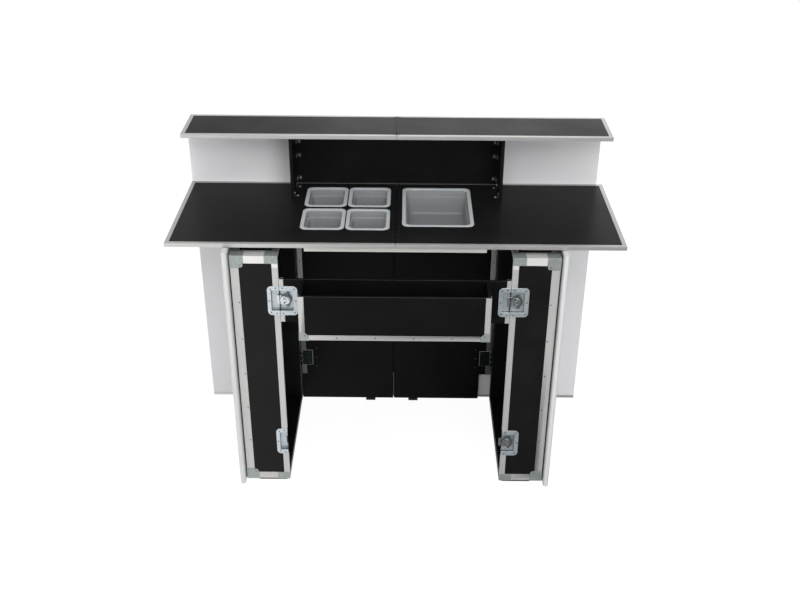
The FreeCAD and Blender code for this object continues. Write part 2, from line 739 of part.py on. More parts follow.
node("trough_front_board", slab(
    (f"-{box_out}", box_out),
    (f"{TROUGH_FRONT} + skin", f"{TROUGH_FRONT} + skin + board"),
    (f"{TROUGH_LOW} + skin", TROUGH_TOP),
))
BOX_Y = (f"{TROUGH_FRONT} + skin + board", FACE)
node("trough_floor_board", slab(
    (f"-({box_out} - board)", f"{box_out} - board"),
    BOX_Y,
    (f"{TROUGH_LOW} + skin", f"{TROUGH_LOW} + skin + board"),
))
node("trough_end_boards", group([
    slab(across(sign, f"{box_out} - board", box_out), BOX_Y, (f"{TROUGH_LOW} + skin", TROUGH_TOP))
    for side, sign in SIDES
]))

# Aluminium on the trough: angles down the two front edges and along the lower edges,
# and a channel on each end of the back board, broken by the latch dish
trough_edges = []
for side, sign in SIDES:
    leg_x = across(sign, f"{BOX_HALF} - trough_angle", BOX_HALF)
    thin_x = across(sign, f"{BOX_HALF} - skin", BOX_HALF)
    run_z = (f"{TROUGH_LOW} + trough_angle", TROUGH_TOP)
    leg_y = (TROUGH_FRONT, f"{TROUGH_FRONT} + trough_angle")
    thin_y = (TROUGH_FRONT, f"{TROUGH_FRONT} + skin")
    trough_edges.append(angle((leg_x, thin_y, run_z), (thin_x, leg_y, run_z)))
    run_y = (f"{TROUGH_FRONT} + trough_angle", FACE)
    leg_z = (TROUGH_LOW, f"{TROUGH_LOW} + trough_angle")
    thin_z = (TROUGH_LOW, f"{TROUGH_LOW} + skin")
    trough_edges.append(angle((leg_x, run_y, thin_z), (thin_x, run_y, leg_z)))
    for low, high in (
        (TROUGH_LOW, f"{UPPER_LATCH} - {DISH_HALF}"),
        (f"{UPPER_LATCH} + {DISH_HALF}", TROUGH_TOP),
    ):
        outer = slab(
            across(sign, f"{arm} - trough_rim", arm), (CASE_FRONT, f"{FACE} + board + skin"), (low, high)
        )
        inner = slab(
            across(sign, f"{arm} - trough_rim - overrun", f"{arm} - skin"),
            (FACE, f"{FACE} + board"),
            (f"{low} - overrun", f"{high} + overrun"),
        )
        trough_edges.append(cut(outer, inner))
front_run = (f"-({BOX_HALF} - trough_angle)", f"{BOX_HALF} - trough_angle")
trough_edges.append(angle(
    (front_run, (TROUGH_FRONT, f"{TROUGH_FRONT} + skin"), (TROUGH_LOW, f"{TROUGH_LOW} + trough_angle")),
    (front_run, (TROUGH_FRONT, f"{TROUGH_FRONT} + trough_angle"), (TROUGH_LOW, f"{TROUGH_LOW} + skin")),
))
node("trough_edge_profiles", group(trough_edges))


def trough_plate():
    """Plate over a lower front corner of the trough, with one round tab in front."""
    thick = mm["plate"]
    leg = mm["trough_angle"] + thick
    reach = mm["plate_reach"] / 2 + leg / 2
    start = FreeCAD.Vector(-thick, -thick, -thick)
    solid = Part.makeBox(reach, thick, leg, start)
    solid = solid.fuse(Part.makeBox(leg, thick, reach, start))
    solid = solid.fuse(Part.makeBox(thick, leg, reach, start))
    solid = solid.fuse(Part.makeBox(reach, leg, thick, start))
    tab = mm["trough_angle"]
    middle = FreeCAD.Vector(tab, -thick, tab)
    tab_radius = mm["plate_tab_radius"] * 4 / 5
    solid = solid.fuse(Part.makeCylinder(tab_radius, thick, middle, FreeCAD.Vector(0, 1, 0)))
    return solid.removeSplitter()


box_length = mm["gap_width"] - 2 * (mm["trough_inset"] + mm["plate_reach"]) - mm["trough_rivet_pitch"]
for step in run_of(box_length, mm["trough_rivet_pitch"]):
    line_z = f"{TROUGH_LOW} + trough_angle / 2"
    rivets.append(button(f"({step}) * trough_rivet_pitch", TROUGH_FRONT, line_z, "front"))
trough_plates = []
for side, sign in SIDES:
    solid = turned(trough_plate(), (-sign, 1, 1))
    trough_plates.append(shape(solid, f"({sign}) * {BOX_HALF}", TROUGH_FRONT, TROUGH_LOW))
    tab_x = f"({sign}) * ({BOX_HALF} - trough_angle)"
    rivets.append(button(tab_x, f"{TROUGH_FRONT} - plate", f"{TROUGH_LOW} + trough_angle", "front"))
node("trough_corner_plates", group(trough_plates))

# Middle of the bar: two boards that fold towards the bartender at the seam between them,
# which is a little to the left. The right board has a cable notch at its lower outer corner.
MIDDLE_Y = (MIDDLE_IN, MIDDLE_OUT)
MIDDLE_Z = ("middle_low", f"{CASE_TOP} - skin")
MIDDLE_EDGE = f"({CASE_IN} - middle_play)"
HINGE_HIGH = f"({CASE_TOP} - hinge_high_drop)"
SEAM_X = "(-seam_shift)"
left_board = slab((f"-{MIDDLE_EDGE}", f"{SEAM_X} - middle_seam / 2"), MIDDLE_Y, MIDDLE_Z)
right_board = slab((f"{SEAM_X} + middle_seam / 2", MIDDLE_EDGE), MIDDLE_Y, MIDDLE_Z)
notch = slab(
    (f"{MIDDLE_EDGE} - notch_width", f"{MIDDLE_EDGE} + overrun"),
    (f"{MIDDLE_IN} - overrun", f"{MIDDLE_OUT} + overrun"),
    ("middle_low - overrun", "middle_low + notch_height"),
)
node("middle_board_left", left_board)
node("middle_board_right", cut(right_board, notch))


def upright(x, y, low, high, radius):
    """An upright round bar between two heights."""
    piece = doc.addObject("Part::Cylinder", "Bar")
    bind(piece, "Radius", radius)
    bind(piece, "Height", f"({high}) - ({low})")
    return place(piece, x, y, low)


# Hinges of the fold: a long one at the seam, and two butt hinges on each case. Each has a
# fixed leaf, a loose leaf and a pin through three knuckles.
def butt_hinge(sign, middle):
    """Leaf on the middle board, leaf on the case's rim, the pin and three screws."""
    low = f"({middle} - hinge_height / 2)"
    high = f"({middle} + hinge_height / 2)"
    first_third = f"({low} + hinge_height / 3)"
    last_third = f"({high} - hinge_height / 3)"
    pin_x = f"({CASE_IN} - hinge_barrel_radius)"
    pin_y = f"({MIDDLE_IN} - hinge_barrel_radius)"
    leaf_face = f"({MIDDLE_IN} - hinge_thickness)"
    x = f"({sign}) * {pin_x}"
    bore = upright(x, pin_y, f"{low} - overrun", f"{high} + overrun", "hinge_pin_radius")
    leaf = slab(across(sign, f"{pin_x} - hinge_leaf", pin_x), (leaf_face, MIDDLE_IN), (low, high))
    gap = slab(
        across(sign, f"{pin_x} - hinge_barrel_radius - moving_gap", f"{pin_x} + 2 * hinge_barrel_radius"),
        (f"{pin_y} - 2 * hinge_barrel_radius", f"{MIDDLE_IN} + overrun"),
        (f"{first_third} - moving_gap", f"{last_third} + moving_gap"),
    )
    board_side = cut(join(leaf, upright(x, pin_y, low, high, "hinge_barrel_radius")), gap, bore)
    leaf_x = across(sign, f"{CASE_IN} - hinge_thickness", CASE_IN)
    case_side = cut(join(
        upright(x, pin_y, first_third, last_third, "hinge_barrel_radius"),
        slab(leaf_x, (pin_y, MIDDLE_OUT), (first_third, last_third)),
        slab(leaf_x, (f"{MIDDLE_IN} + moving_gap", MIDDLE_OUT), (low, high)),
    ), bore)
    pin = upright(x, pin_y, low, high, "hinge_pin_radius - bearing_play")
    screws = [
        button(
            f"({sign}) * ({pin_x} - hinge_leaf * {along} / 12)", leaf_face,
            f"{middle} + ({step}) * hinge_height / 3", "front",
        )
        for step, along in ((-1, 9), (0, 6), (1, 9))
    ]
    return [board_side, case_side, pin, *screws]


fold_hinges = []
for side, sign in SIDES:
    for middle in ("hinge_low_place", HINGE_HIGH):
        fold_hinges.extend(butt_hinge(sign, middle))
seam_z = ("middle_low + notch_height", MIDDLE_Z[1])
seam_leaf_y = (MIDDLE_OUT, f"{MIDDLE_OUT} + skin")
for side, sign in SIDES:
    near, far = across(sign, "middle_seam / 2", "middle_seam / 2 + seam_hinge_leaf")
    seam_leaf_x = (f"{SEAM_X} + {near}", f"{SEAM_X} + {far}")
    fold_hinges.append(slab(seam_leaf_x, seam_leaf_y, seam_z))
fold_hinges.append(upright(SEAM_X, f"{MIDDLE_OUT} + middle_seam / 2", *seam_z, "middle_seam / 2"))
node("fold_hinges", group(fold_hinges))

# Aluminium strips on the outer edges of the middle boards, broken at the butt hinges
strips = []
for side, sign in SIDES:
    strip_edge = f"({MIDDLE_EDGE} - strip_inset)"
    span_x = across(sign, f"{strip_edge} - strip_width", strip_edge)
    breaks = ("middle_low + notch_height", "hinge_low_place", HINGE_HIGH, f"{CASE_TOP} - skin")
    half = "(hinge_height / 2 + moving_gap)"
    lows = (breaks[0], f"{breaks[1]} + {half}", f"{breaks[2]} + {half}")
    highs = (f"{breaks[1]} - {half}", f"{breaks[2]} - {half}", breaks[3])
    for low, high in zip(lows, highs):
        strips.append(slab(span_x, (f"{MIDDLE_IN} - strip_thickness", MIDDLE_IN), (low, high)))
    strip_face = f"{MIDDLE_IN} - strip_thickness"
    for z in (
        "hinge_low_place + hinge_height / 2 + strip_rivet_setback",
        f"{HINGE_HIGH} - hinge_height / 2 - strip_rivet_setback",
    ):
        rivets.append(button(f"({sign}) * ({strip_edge} - strip_width / 2)", strip_face, z, "front"))
node("middle_edge_strips", group(strips))
node("rivets", group(rivets))

# White guests' side: three lower panels, each in an aluminium channel at its foot. Like the
# seam between the boards, they stand a little to the left.
third_width = f"((2 * {FRONT_HALF} - 2 * panel_joint) / 3)"
panel_top = "(panel_low + panel_height)"
panel_names = ("left", "centre", "right")
channels = []
for number, name in enumerate(panel_names):
    low_x = f"({SEAM_X} - {FRONT_HALF} + {number} * ({third_width} + panel_joint))"
    span_x = (low_x, f"{low_x} + {third_width}")
    foot = "(panel_low + skin)"
    board_y = (f"{PANEL_IN} + skin", f"{PANEL_OUT} - skin")
    node(f"front_panel_{name}", slab(span_x, board_y, (foot, panel_top)))
    outer = slab(span_x, (PANEL_IN, PANEL_OUT), ("panel_low", "panel_low + channel_height"))
    inner = slab(
        (f"{low_x} - overrun", f"{low_x} + {third_width} + overrun"),
        (f"{PANEL_IN} + skin", f"{PANEL_OUT} - skin"),
        (foot, "panel_low + channel_height + overrun"),
    )
    channels.append(cut(outer, inner))
node("front_panel_channels", group(channels))

# White side panels with a rounded edge towards the bartender. They stand on the floor.
SIDE_FRONT = f"({CASE_FRONT} - side_overhang)"
for side, sign in SIDES:
    inner = f"({CASE_OUT} + side_gap)"
    outer = f"({inner} + side_thickness)"
    side_z = ("0", f"{COUNTER_LOW} - side_clearance")
    flat = slab(
        across(sign, inner, outer), (f"{SIDE_FRONT} + side_thickness / 2", COUNTER_BACK), side_z
    )
    nose = upright(
        f"({sign}) * ({inner} + side_thickness / 2)",
        f"{SIDE_FRONT} + side_thickness / 2",
        side_z[0],
        side_z[1],
        "side_thickness / 2",
    )
    node(f"side_panel_{side}", join(flat, nose))

# Black spacers between the panels and the cases: uprights at the sides, pads at the back
spacers = []
for side, sign in SIDES:
    span_x = across(sign, f"{CASE_OUT} + plate", f"{CASE_OUT} + side_gap")
    for low_y, high_y in (
        (f"{CASE_FRONT} + spacer_setback", f"{CASE_FRONT} + spacer_setback + spacer_width"),
        (f"{CASE_BACK} - spacer_setback - spacer_width", f"{CASE_BACK} - spacer_setback"),
    ):
        spacers.append(slab(span_x, (low_y, high_y), ("spacer_low", f"{CASE_TOP} + plate")))
    pad_y = (MIDDLE_OUT, f"{PANEL_IN} + skin")
    for middle_z in ("hinge_low_place", HINGE_HIGH):
        for middle_x in (f"{CASE_IN} + case_width / 2", f"{CASE_IN} - pad_inset", "inner_pad_place"):
            pad_x = across(sign, f"{middle_x} - pad_width / 2", f"{middle_x} + pad_width / 2")
            pad_z = (f"{middle_z} - pad_height / 2", f"{middle_z} + pad_height / 2")
            spacers.append(slab(pad_x, pad_y, pad_z))
        for step in (-1, 0, 1):
            bolt_x = f"({sign}) * ({CASE_IN} - pad_inset)"
            bolt_z = f"{middle_z} + ({step}) * pad_bolt_pitch"
            spacers.append(button(bolt_x, MIDDLE_IN, bolt_z, "front", "pad_bolt_radius", "pad_bolt_rise"))
node("panel_spacers", group(spacers))


# Counters. Each half is a laminated board whose three outer edges are rebated for an
# aluminium channel, so that the board and the channel's lips lie flush.
def counter_half(sign, outer, front, back, low, high):
    """The full outline of one half, and the board inside its edging."""
    inner = "counter_joint / 2"
    full = slab(across(sign, inner, outer), (front, back), (low, high))

    def board(inset, lift):
        return slab(
            across(sign, inner, f"{outer} - {inset}"),
            (f"{front} + {inset}", f"{back} - {inset}"),
            (f"{low} + {lift}", f"{high} - {lift}"),
        )

    return full, join(board("lip_width", "0"), board("skin", "skin"))


SMALL_INNER = "pan_middle_gap"
SMALL_OUTER = "(pan_middle_gap + small_pan_width + pan_column_gap)"
PAN_BACK = f"({COUNTER_BACK} - pan_back_setback)"
BACK_ROW = f"({PAN_BACK} - small_pan_depth / 2)"
FRONT_ROW = f"({BACK_ROW} - small_pan_depth - pan_row_gap)"
PANS = (
    ("pan_outer_front", f"-({SMALL_OUTER} + small_pan_width / 2)", FRONT_ROW, "small"),
    ("pan_outer_back", f"-({SMALL_OUTER} + small_pan_width / 2)", BACK_ROW, "small"),
    ("pan_inner_front", f"-({SMALL_INNER} + small_pan_width / 2)", FRONT_ROW, "small"),
    ("pan_inner_back", f"-({SMALL_INNER} + small_pan_width / 2)", BACK_ROW, "small"),
    ("pan_large", "pan_middle_gap + large_pan_width / 2", f"{PAN_BACK} - large_pan_depth / 2", "large"),
)


def rounded_outline(width, depth, corner, z):
    """A rounded rectangle round the origin at one height."""
    x = width / 2
    y = depth / 2
    bend = corner * (1 - math.cos(math.pi / 4))
    edges = []
    for across_sign, along_sign in ((1, 1), (-1, 1), (-1, -1), (1, -1)):
        turn = across_sign * along_sign
        beside = FreeCAD.Vector(across_sign * x, along_sign * (y - corner), z)
        middle = FreeCAD.Vector(across_sign * (x - bend), along_sign * (y - bend), z)
        beyond = FreeCAD.Vector(across_sign * (x - corner), along_sign * y, z)
        arc = Part.Arc(beside, middle, beyond) if turn > 0 else Part.Arc(beyond, middle, beside)
        start, end = (beside, beyond) if turn > 0 else (beyond, beside)
        if edges:
            edges.append(Part.makeLine(last, start))
        else:
            first = start
        edges.append(arc.toShape())
        last = end
    edges.append(Part.makeLine(last, first))
    return Part.Wire(edges)


def pan(width, depth, fall):
    """Deep tray under a flat rim, with a step inside below the mouth and tapering sides."""
    wall = mm["pan_wall"]
    mouth_inset = 2 * mm["pan_flange"]
    corner = mm["pan_corner"]
    step = 2 * mm["pan_step"]
    taper = 2 * mm["pan_taper"]
    step_z = -mm["pan_step_fall"]

    def section(inset, z, radius_loss):
        return rounded_outline(width - inset, depth - inset, corner - radius_loss, z)

    def body(shrink, floor, mouth_z):
        levels = [
            section(mouth_inset + shrink, mouth_z, shrink / 2),
            section(mouth_inset + shrink, step_z + shrink / 2, shrink / 2),
            section(mouth_inset + shrink + step, step_z - mm["pan_step"] + shrink / 2, shrink / 2),
            section(mouth_inset + shrink + step + taper, floor, shrink / 2),
        ]
        return Part.makeLoft(levels, True, True)

    outside = body(0, -fall, 0)
    inside = body(2 * wall, wall - fall, mm["pan_rim"])
    rim = Part.Face(rounded_outline(width, depth, corner, 0)).extrude(FreeCAD.Vector(0, 0, mm["pan_rim"]))
    return rim.fuse(outside).cut(inside).removeSplitter()


def pan_hole(x, y, size):
    """The hole in the counter for one pan."""
    half_x = f"({size}_pan_width / 2 - pan_flange + pan_clearance)"
    half_y = f"({size}_pan_depth / 2 - pan_flange + pan_clearance)"
    return slab(
        (f"{x} - {half_x}", f"{x} + {half_x}"),
        (f"{y} - {half_y}", f"{y} + {half_y}"),
        (f"{COUNTER_LOW} - overrun", f"{COUNTER_TOP} + overrun"),
    )


counter_edges = []
for side, sign in SIDES:
    full, board = counter_half(sign, COUNTER_HALF, COUNTER_FRONT, COUNTER_BACK, COUNTER_LOW, COUNTER_TOP)
    holes = [pan_hole(x, y, size) for name, x, y, size in PANS if (size == "small") == (side == "left")]
    node(f"counter_board_{side}", cut(board, *holes))
    counter_edges.append(cut(full, board))
node("counter_edge_profiles", group(counter_edges))
for name, x, y, size in PANS:
    solid = pan(mm[f"{size}_pan_width"], mm[f"{size}_pan_depth"], mm["pan_fall"])
    node(name, shape(solid, x, y, COUNTER_TOP))


# Under the counter: a hinge along its seam, riveted through the boards, a batten over each
# case, and an aluminium angle that stiffens the seam behind the front edge
def lying(x, z, front, back, radius):
    """A round bar along Y between two places."""
    piece = doc.addObject("Part::Cylinder", "Bar")
    bind(piece, "Radius", radius)
    bind(piece, "Height", f"({back}) - ({front})")
    return place(piece, x, back, z, FreeCAD.Rotation(FreeCAD.Vector(1, 0, 0), 90))


hinge_y = (f"({COUNTER_FRONT} + counter_hinge_front)", f"({COUNTER_BACK} - counter_hinge_back)")
hinge_z = (f"{COUNTER_LOW} - skin", COUNTER_LOW)
counter_hinge = []
for side, sign in SIDES:
    hinge_x = across(sign, "seam_barrel_radius + moving_gap", "seam_barrel_radius + counter_hinge_leaf")
    counter_hinge.append(slab(hinge_x, hinge_y, hinge_z))
barrel_z = f"{COUNTER_LOW} - seam_barrel_radius - moving_gap"
counter_hinge.append(lying("0", barrel_z, *hinge_y, "seam_barrel_radius"))


def seam_rivets(sign, x, run, length, z):
    """A row of low rivets beside a seam, on one side of it."""
    heads = []
    for step in run_of(length, mm["seam_rivet_pitch"]):
        y = f"({run[0]} + {run[1]}) / 2 + ({step}) * seam_rivet_pitch"
        heads.append(button(f"({sign}) * {x}", y, z, "up", "seam_rivet_radius", "seam_rivet_rise"))
    return heads


hinge_ends = mm["counter_hinge_front"] + mm["counter_hinge_back"]
seam_length = mm["counter_depth"] - hinge_ends - mm["seam_rivet_pitch"]
for side, sign in SIDES:
    rivet_x = "(seam_barrel_radius + counter_hinge_leaf / 2)"
    counter_hinge.extend(seam_rivets(sign, rivet_x, hinge_y, seam_length, COUNTER_TOP))
node("counter_hinge", group(counter_hinge))
CASE_MIDDLE = f"({CASE_IN} + case_width / 2)"
batten_y = (f"{CASE_FRONT} + batten_setback", f"{CASE_BACK} - batten_setback")
node("counter_battens", group([
    slab(
        across(sign, f"{CASE_MIDDLE} - batten_width / 2", f"{CASE_MIDDLE} + batten_width / 2"),
        batten_y,
        (f"{CASE_TOP} - skin", COUNTER_LOW),
    )
    for side, sign in SIDES
]))
stiffener_front = f"({COUNTER_FRONT} + stiffener_setback)"
span_x = ("-(stiffener_width / 2)", "stiffener_width / 2")
node("counter_stiffener", join(
    slab(
        span_x,
        (stiffener_front, f"{stiffener_front} + skin"),
        (f"{COUNTER_LOW} - stiffener_drop", COUNTER_LOW),
    ),
    slab(
        span_x,
        (stiffener_front, f"{stiffener_front} + stiffener_depth"),
        (f"{COUNTER_LOW} - stiffener_drop", f"{COUNTER_LOW} - stiffener_drop + skin"),
    ),
))

# Riser: a back board and two cheeks that stand on the counter and carry the guests' top
RISER_Z = (COUNTER_TOP, TOP_LOW)
RISER_IN = f"({PANEL_IN} - board)"
RISER_HALF = f"({CASE_IN} - riser_inset)"
node("riser_back_board", slab((f"-{RISER_HALF}", RISER_HALF), (RISER_IN, PANEL_IN), RISER_Z))
for side, sign in SIDES:
    cheek_x = across(sign, f"{RISER_HALF} - cheek_thickness", RISER_HALF)
    node(f"riser_cheek_{side}", slab(cheek_x, (f"{RISER_IN} - cheek_depth", RISER_IN), RISER_Z))

# Small angle brackets in the riser's corners, each held by two screws
brackets = []
cheek_face = f"({RISER_HALF} - cheek_thickness)"
half_leg = "bracket_leg / 2"
for side, sign in SIDES:
    thin_x = across(sign, f"{cheek_face} - bracket_thickness", cheek_face)
    wide_x = across(sign, f"{cheek_face} - bracket_leg", cheek_face)
    for offset in ("bracket_low_place", "bracket_middle_place", "bracket_high_place"):
        middle = f"({COUNTER_TOP} + {offset})"
        z = (f"{middle} - {half_leg}", f"{middle} + {half_leg}")
        on_cheek = (thin_x, (f"{RISER_IN} - bracket_leg", RISER_IN), z)
        on_back = (wide_x, (f"{RISER_IN} - bracket_thickness", RISER_IN), z)
        brackets.append(angle(on_cheek, on_back))
        facing = "left" if sign > 0 else "right"
        far_leg = "(bracket_leg * 13 / 20)"
        brackets.append(button(
            f"({sign}) * ({cheek_face} - bracket_thickness)", f"{RISER_IN} - {far_leg}", middle, facing,
            "screw_radius", "screw_rise",
        ))
        brackets.append(button(
            f"({sign}) * ({cheek_face} - {far_leg})", f"{RISER_IN} - bracket_thickness", middle, "front",
            "screw_radius", "screw_rise",
        ))
    for middle in (
        f"({RISER_IN} - cheek_depth + bracket_front_setback)",
        f"({RISER_IN} - 2 * bracket_leg)",
    ):
        y = (f"{middle} - {half_leg}", f"{middle} + {half_leg}")
        foot_z = (COUNTER_TOP, f"{COUNTER_TOP} + bracket_thickness")
        upright_z = (COUNTER_TOP, f"{COUNTER_TOP} + bracket_leg")
        brackets.append(angle((thin_x, y, upright_z), (wide_x, y, foot_z)))
        brackets.append(button(
            f"({sign}) * ({cheek_face} - bracket_thickness)", middle, f"{COUNTER_TOP} + {far_leg}", facing,
            "screw_radius", "screw_rise",
        ))
        brackets.append(button(
            f"({sign}) * ({cheek_face} - {far_leg})", middle, f"{COUNTER_TOP} + bracket_thickness", "up",
            "screw_radius", "screw_rise",
        ))
node("riser_brackets", group(brackets))

# White upper panels behind the riser, one for each half of the bar
UPPER_Z = (f"{panel_top} + panel_joint", TOP_LOW)
for side, sign in SIDES:
    near, far = across(sign, "panel_joint / 2", FRONT_HALF)
    span_x = (f"{SEAM_X} + {near}", f"{SEAM_X} + {far}")
    node(f"upper_panel_{side}", slab(span_x, (PANEL_IN, PANEL_OUT), UPPER_Z))

# Guests' top in two halves, joined by a long hinge on top, so that the left half folds
# over onto the right one
AXIS_Z = f"({TOP_TOP} + top_axis_rise)"
leaf_y = (f"({TOP_FRONT} + lip_width)", f"({TOP_BACK} - lip_width)")
knuckle = "((top_depth - 2 * lip_width) / top_knuckles)"
knuckles = int(mm["top_knuckles"])
for side, sign in SIDES:
    full, board = counter_half(sign, FRONT_HALF, TOP_FRONT, TOP_BACK, TOP_LOW, TOP_TOP)
    node(f"top_board_{side}", board)
    node(f"top_edge_profile_{side}", cut(full, board))
    leaf = slab(
        across(sign, "0", "top_barrel_radius + top_leaf"),
        leaf_y,
        (TOP_TOP, f"{TOP_TOP} + top_leaf_thickness"),
    )
    barrel = lying("0", AXIS_Z, *leaf_y, "top_barrel_radius")
    whole = join(leaf, barrel)
    others = []
    for number in range(knuckles):
        if number % 2 == (0 if side == "left" else 1):
            low_y = f"({leaf_y[0]} + {number} * {knuckle})"
            others.append(slab(
                across(sign, "-(top_barrel_radius + overrun)", "top_barrel_radius + moving_gap"),
                (f"{low_y} - moving_gap / 2", f"{low_y} + {knuckle} + moving_gap / 2"),
                (TOP_TOP, f"{AXIS_Z} + top_barrel_radius + overrun"),
            ))
    bore_y = (f"{leaf_y[0]} - overrun", f"{leaf_y[1]} + overrun")
    bore = lying("0", AXIS_Z, *bore_y, "top_pin_radius + bearing_play")
    half = cut(whole, *others, bore)
    pieces = [half]
    if side == "right":
        pieces.append(lying("0", AXIS_Z, *leaf_y, "top_pin_radius"))
    leaf_length = mm["top_depth"] - 2 * mm["lip_width"] - mm["seam_rivet_pitch"] / 2
    rivet_x = "(top_barrel_radius + top_leaf * 2 / 3)"
    pieces.extend(seam_rivets(sign, rivet_x, leaf_y, leaf_length, f"{TOP_TOP} + top_leaf_thickness"))
    node(f"top_hinge_leaf_{side}", group(pieces))

doc.recompute()

# Nothing is written unless every object is sound
for item in doc.Objects:
    if "Invalid" in item.State or "Error" in item.State:
        raise RuntimeError(f"{item.Label} did not build: {item.State}")
os.makedirs("parts", exist_ok=True)
for name, item in nodes.items():
    if item.Shape.isNull() or not item.Shape.isValid() or not item.Shape.Solids:
        raise RuntimeError(f"{name} has no sound shape")
for name, item in nodes.items():
    item.Shape.exportStep(f"parts/{name}.step")
box = FreeCAD.BoundBox()
for item in nodes.values():
    box.add(item.Shape.BoundBox)
print(len(nodes), "nodes", box)
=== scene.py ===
import json
import math

import bmesh
import bpy
import numpy as np
from mathutils import Matrix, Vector
from mathutils.bvhtree import BVHTree

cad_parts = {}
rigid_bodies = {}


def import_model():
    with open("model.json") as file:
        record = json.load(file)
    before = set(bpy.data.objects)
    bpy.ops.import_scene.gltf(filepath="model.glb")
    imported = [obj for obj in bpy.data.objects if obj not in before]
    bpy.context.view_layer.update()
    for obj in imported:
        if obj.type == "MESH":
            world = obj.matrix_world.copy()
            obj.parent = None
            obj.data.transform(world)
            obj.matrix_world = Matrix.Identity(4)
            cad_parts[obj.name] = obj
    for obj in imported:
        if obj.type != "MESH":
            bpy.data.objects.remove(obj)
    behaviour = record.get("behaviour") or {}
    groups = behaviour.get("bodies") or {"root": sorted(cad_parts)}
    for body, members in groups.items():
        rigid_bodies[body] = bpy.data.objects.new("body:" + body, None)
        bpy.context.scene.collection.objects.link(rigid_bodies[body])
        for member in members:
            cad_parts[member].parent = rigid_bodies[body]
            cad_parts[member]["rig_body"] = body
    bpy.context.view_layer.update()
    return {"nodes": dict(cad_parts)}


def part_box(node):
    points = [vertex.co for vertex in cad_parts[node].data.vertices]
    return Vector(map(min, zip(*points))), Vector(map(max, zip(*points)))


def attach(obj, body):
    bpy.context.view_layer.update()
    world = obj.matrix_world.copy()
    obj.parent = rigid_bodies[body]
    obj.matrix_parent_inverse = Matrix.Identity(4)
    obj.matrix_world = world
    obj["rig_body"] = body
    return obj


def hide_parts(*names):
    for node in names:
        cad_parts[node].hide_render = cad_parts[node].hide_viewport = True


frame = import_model()

# Camera. It looks down on the bar from the bartender's side, as the photographer did, and
# its place and turn were fitted to the straight edges of the counter, top and cases.
camera_place = (0.0333, -3.49085, 2.6906)
turn_left = 0.00475
look_down = 0.51805
lean = 0.00629
photo_width_pixels = 800
focal_length_pixels = 1034.45
sensor_width = 36
forward = np.array([
    -math.sin(turn_left) * math.cos(look_down),
    math.cos(turn_left) * math.cos(look_down),
    -math.sin(look_down),
])
level = np.array([math.cos(turn_left), math.sin(turn_left), 0.0])
overhead = np.cross(level, forward)
camera_right = math.cos(lean) * level + math.sin(lean) * overhead
camera_up = math.cos(lean) * overhead - math.sin(lean) * level
turned = np.eye(4)
turned[:3, :3] = np.column_stack([camera_right, camera_up, -forward])
turned[:3, 3] = camera_place
scene = bpy.context.scene
camera = bpy.data.objects.new("camera", bpy.data.cameras.new("camera"))
camera.data.sensor_width = sensor_width
camera.data.lens = sensor_width * (focal_length_pixels / photo_width_pixels)
camera.matrix_world = Matrix(turned.tolist())
scene.collection.objects.link(camera)
scene.camera = camera
scene.view_settings.view_transform = "Standard"

# Studio. A plain pale floor and an even pale room, with one broad lamp over the bartender's shoulder, one
# low in front, one at the left, and two on the guests' side. Seen in metal, the floor gives a painted
# reflection, glowing bright at the left and dim at the right, as the photograph shows it.
white = (1, 1, 1, 1)
room_light = 0.45
room_seen = 1.0
floor_half = 9.0
floor_colour = (0.86, 0.86, 0.86, 1)
glow_share = 0.82
glow_seen = 1.14
painted_reflection_left = 2.2
painted_reflection_right = 0.1
painted_reflection_from = -0.9
painted_reflection_to = 0.35


def add(tree, kind, inputs=None, **settings):
    """Add a shader node with its settings, and set or link the inputs named."""
    made = tree.nodes.new(kind)
    for key, value in settings.items():
        setattr(made, key, value)
    for key, value in (inputs or {}).items():
        if isinstance(value, bpy.types.NodeSocket):
            tree.links.new(value, made.inputs[key])
        else:
            made.inputs[key].default_value = value
    return made


def maths(tree, operation, first, second):
    """Two values put together by one operation, such as ADD or MULTIPLY."""
    return add(tree, "ShaderNodeMath", {0: first, 1: second}, operation=operation).outputs[0]


def spread(tree, value, start, end, low, high):
    """The value's range from start to end, carried over to the range from low to high."""
    return add(tree, "ShaderNodeMapRange", {
        "Value": value, "From Min": start, "From Max": end, "To Min": low, "To Max": high}).outputs[0]


def seen_directly(tree):
    """One for what the camera sees straight, in a mirror or through glass, and zero for light."""
    path = add(tree, "ShaderNodeLightPath").outputs
    either = maths(tree, "MAXIMUM", path["Is Camera Ray"], path["Is Glossy Ray"])
    return maths(tree, "MAXIMUM", either, path["Is Transmission Ray"])


room = bpy.data.worlds.new("room")
room.use_nodes = True
scene.world = room
room_tree = room.node_tree
background = room_tree.nodes["Background"]
background.inputs["Color"].default_value = white
strength = spread(room_tree, seen_directly(room_tree), 0, 1, room_light, room_seen)
room_tree.links.new(strength, background.inputs["Strength"])

floor_corners = [
    (-floor_half, -floor_half, 0), (floor_half, -floor_half, 0),
    (floor_half, floor_half, 0), (-floor_half, floor_half, 0)]
floor_mesh = bpy.data.meshes.new("floor")
floor_mesh.from_pydata(floor_corners, [], [(0, 1, 2, 3)])
floor = bpy.data.objects.new("floor", floor_mesh)
scene.collection.objects.link(floor)
floor_paint = bpy.data.materials.new("floor_paint")
floor_paint.use_nodes = True
floor_tree = floor_paint.node_tree
floor_tree.nodes.clear()
matt = add(floor_tree, "ShaderNodeBsdfDiffuse", {"Color": floor_colour})
floor_place = add(floor_tree, "ShaderNodeTexCoord").outputs["Object"]
floor_across = add(floor_tree, "ShaderNodeSeparateXYZ", {"Vector": floor_place}).outputs[0]
# Painted reflection: in mirrored rays the floor's glow runs from bright at the left to dim at the right.
painted_reflection = spread(floor_tree, floor_across, painted_reflection_from, painted_reflection_to, painted_reflection_left, painted_reflection_right)
in_mirror = add(floor_tree, "ShaderNodeLightPath").outputs["Is Glossy Ray"]
glow_strength = add(floor_tree, "ShaderNodeMix", {0: in_mirror, 2: glow_seen, 3: painted_reflection})
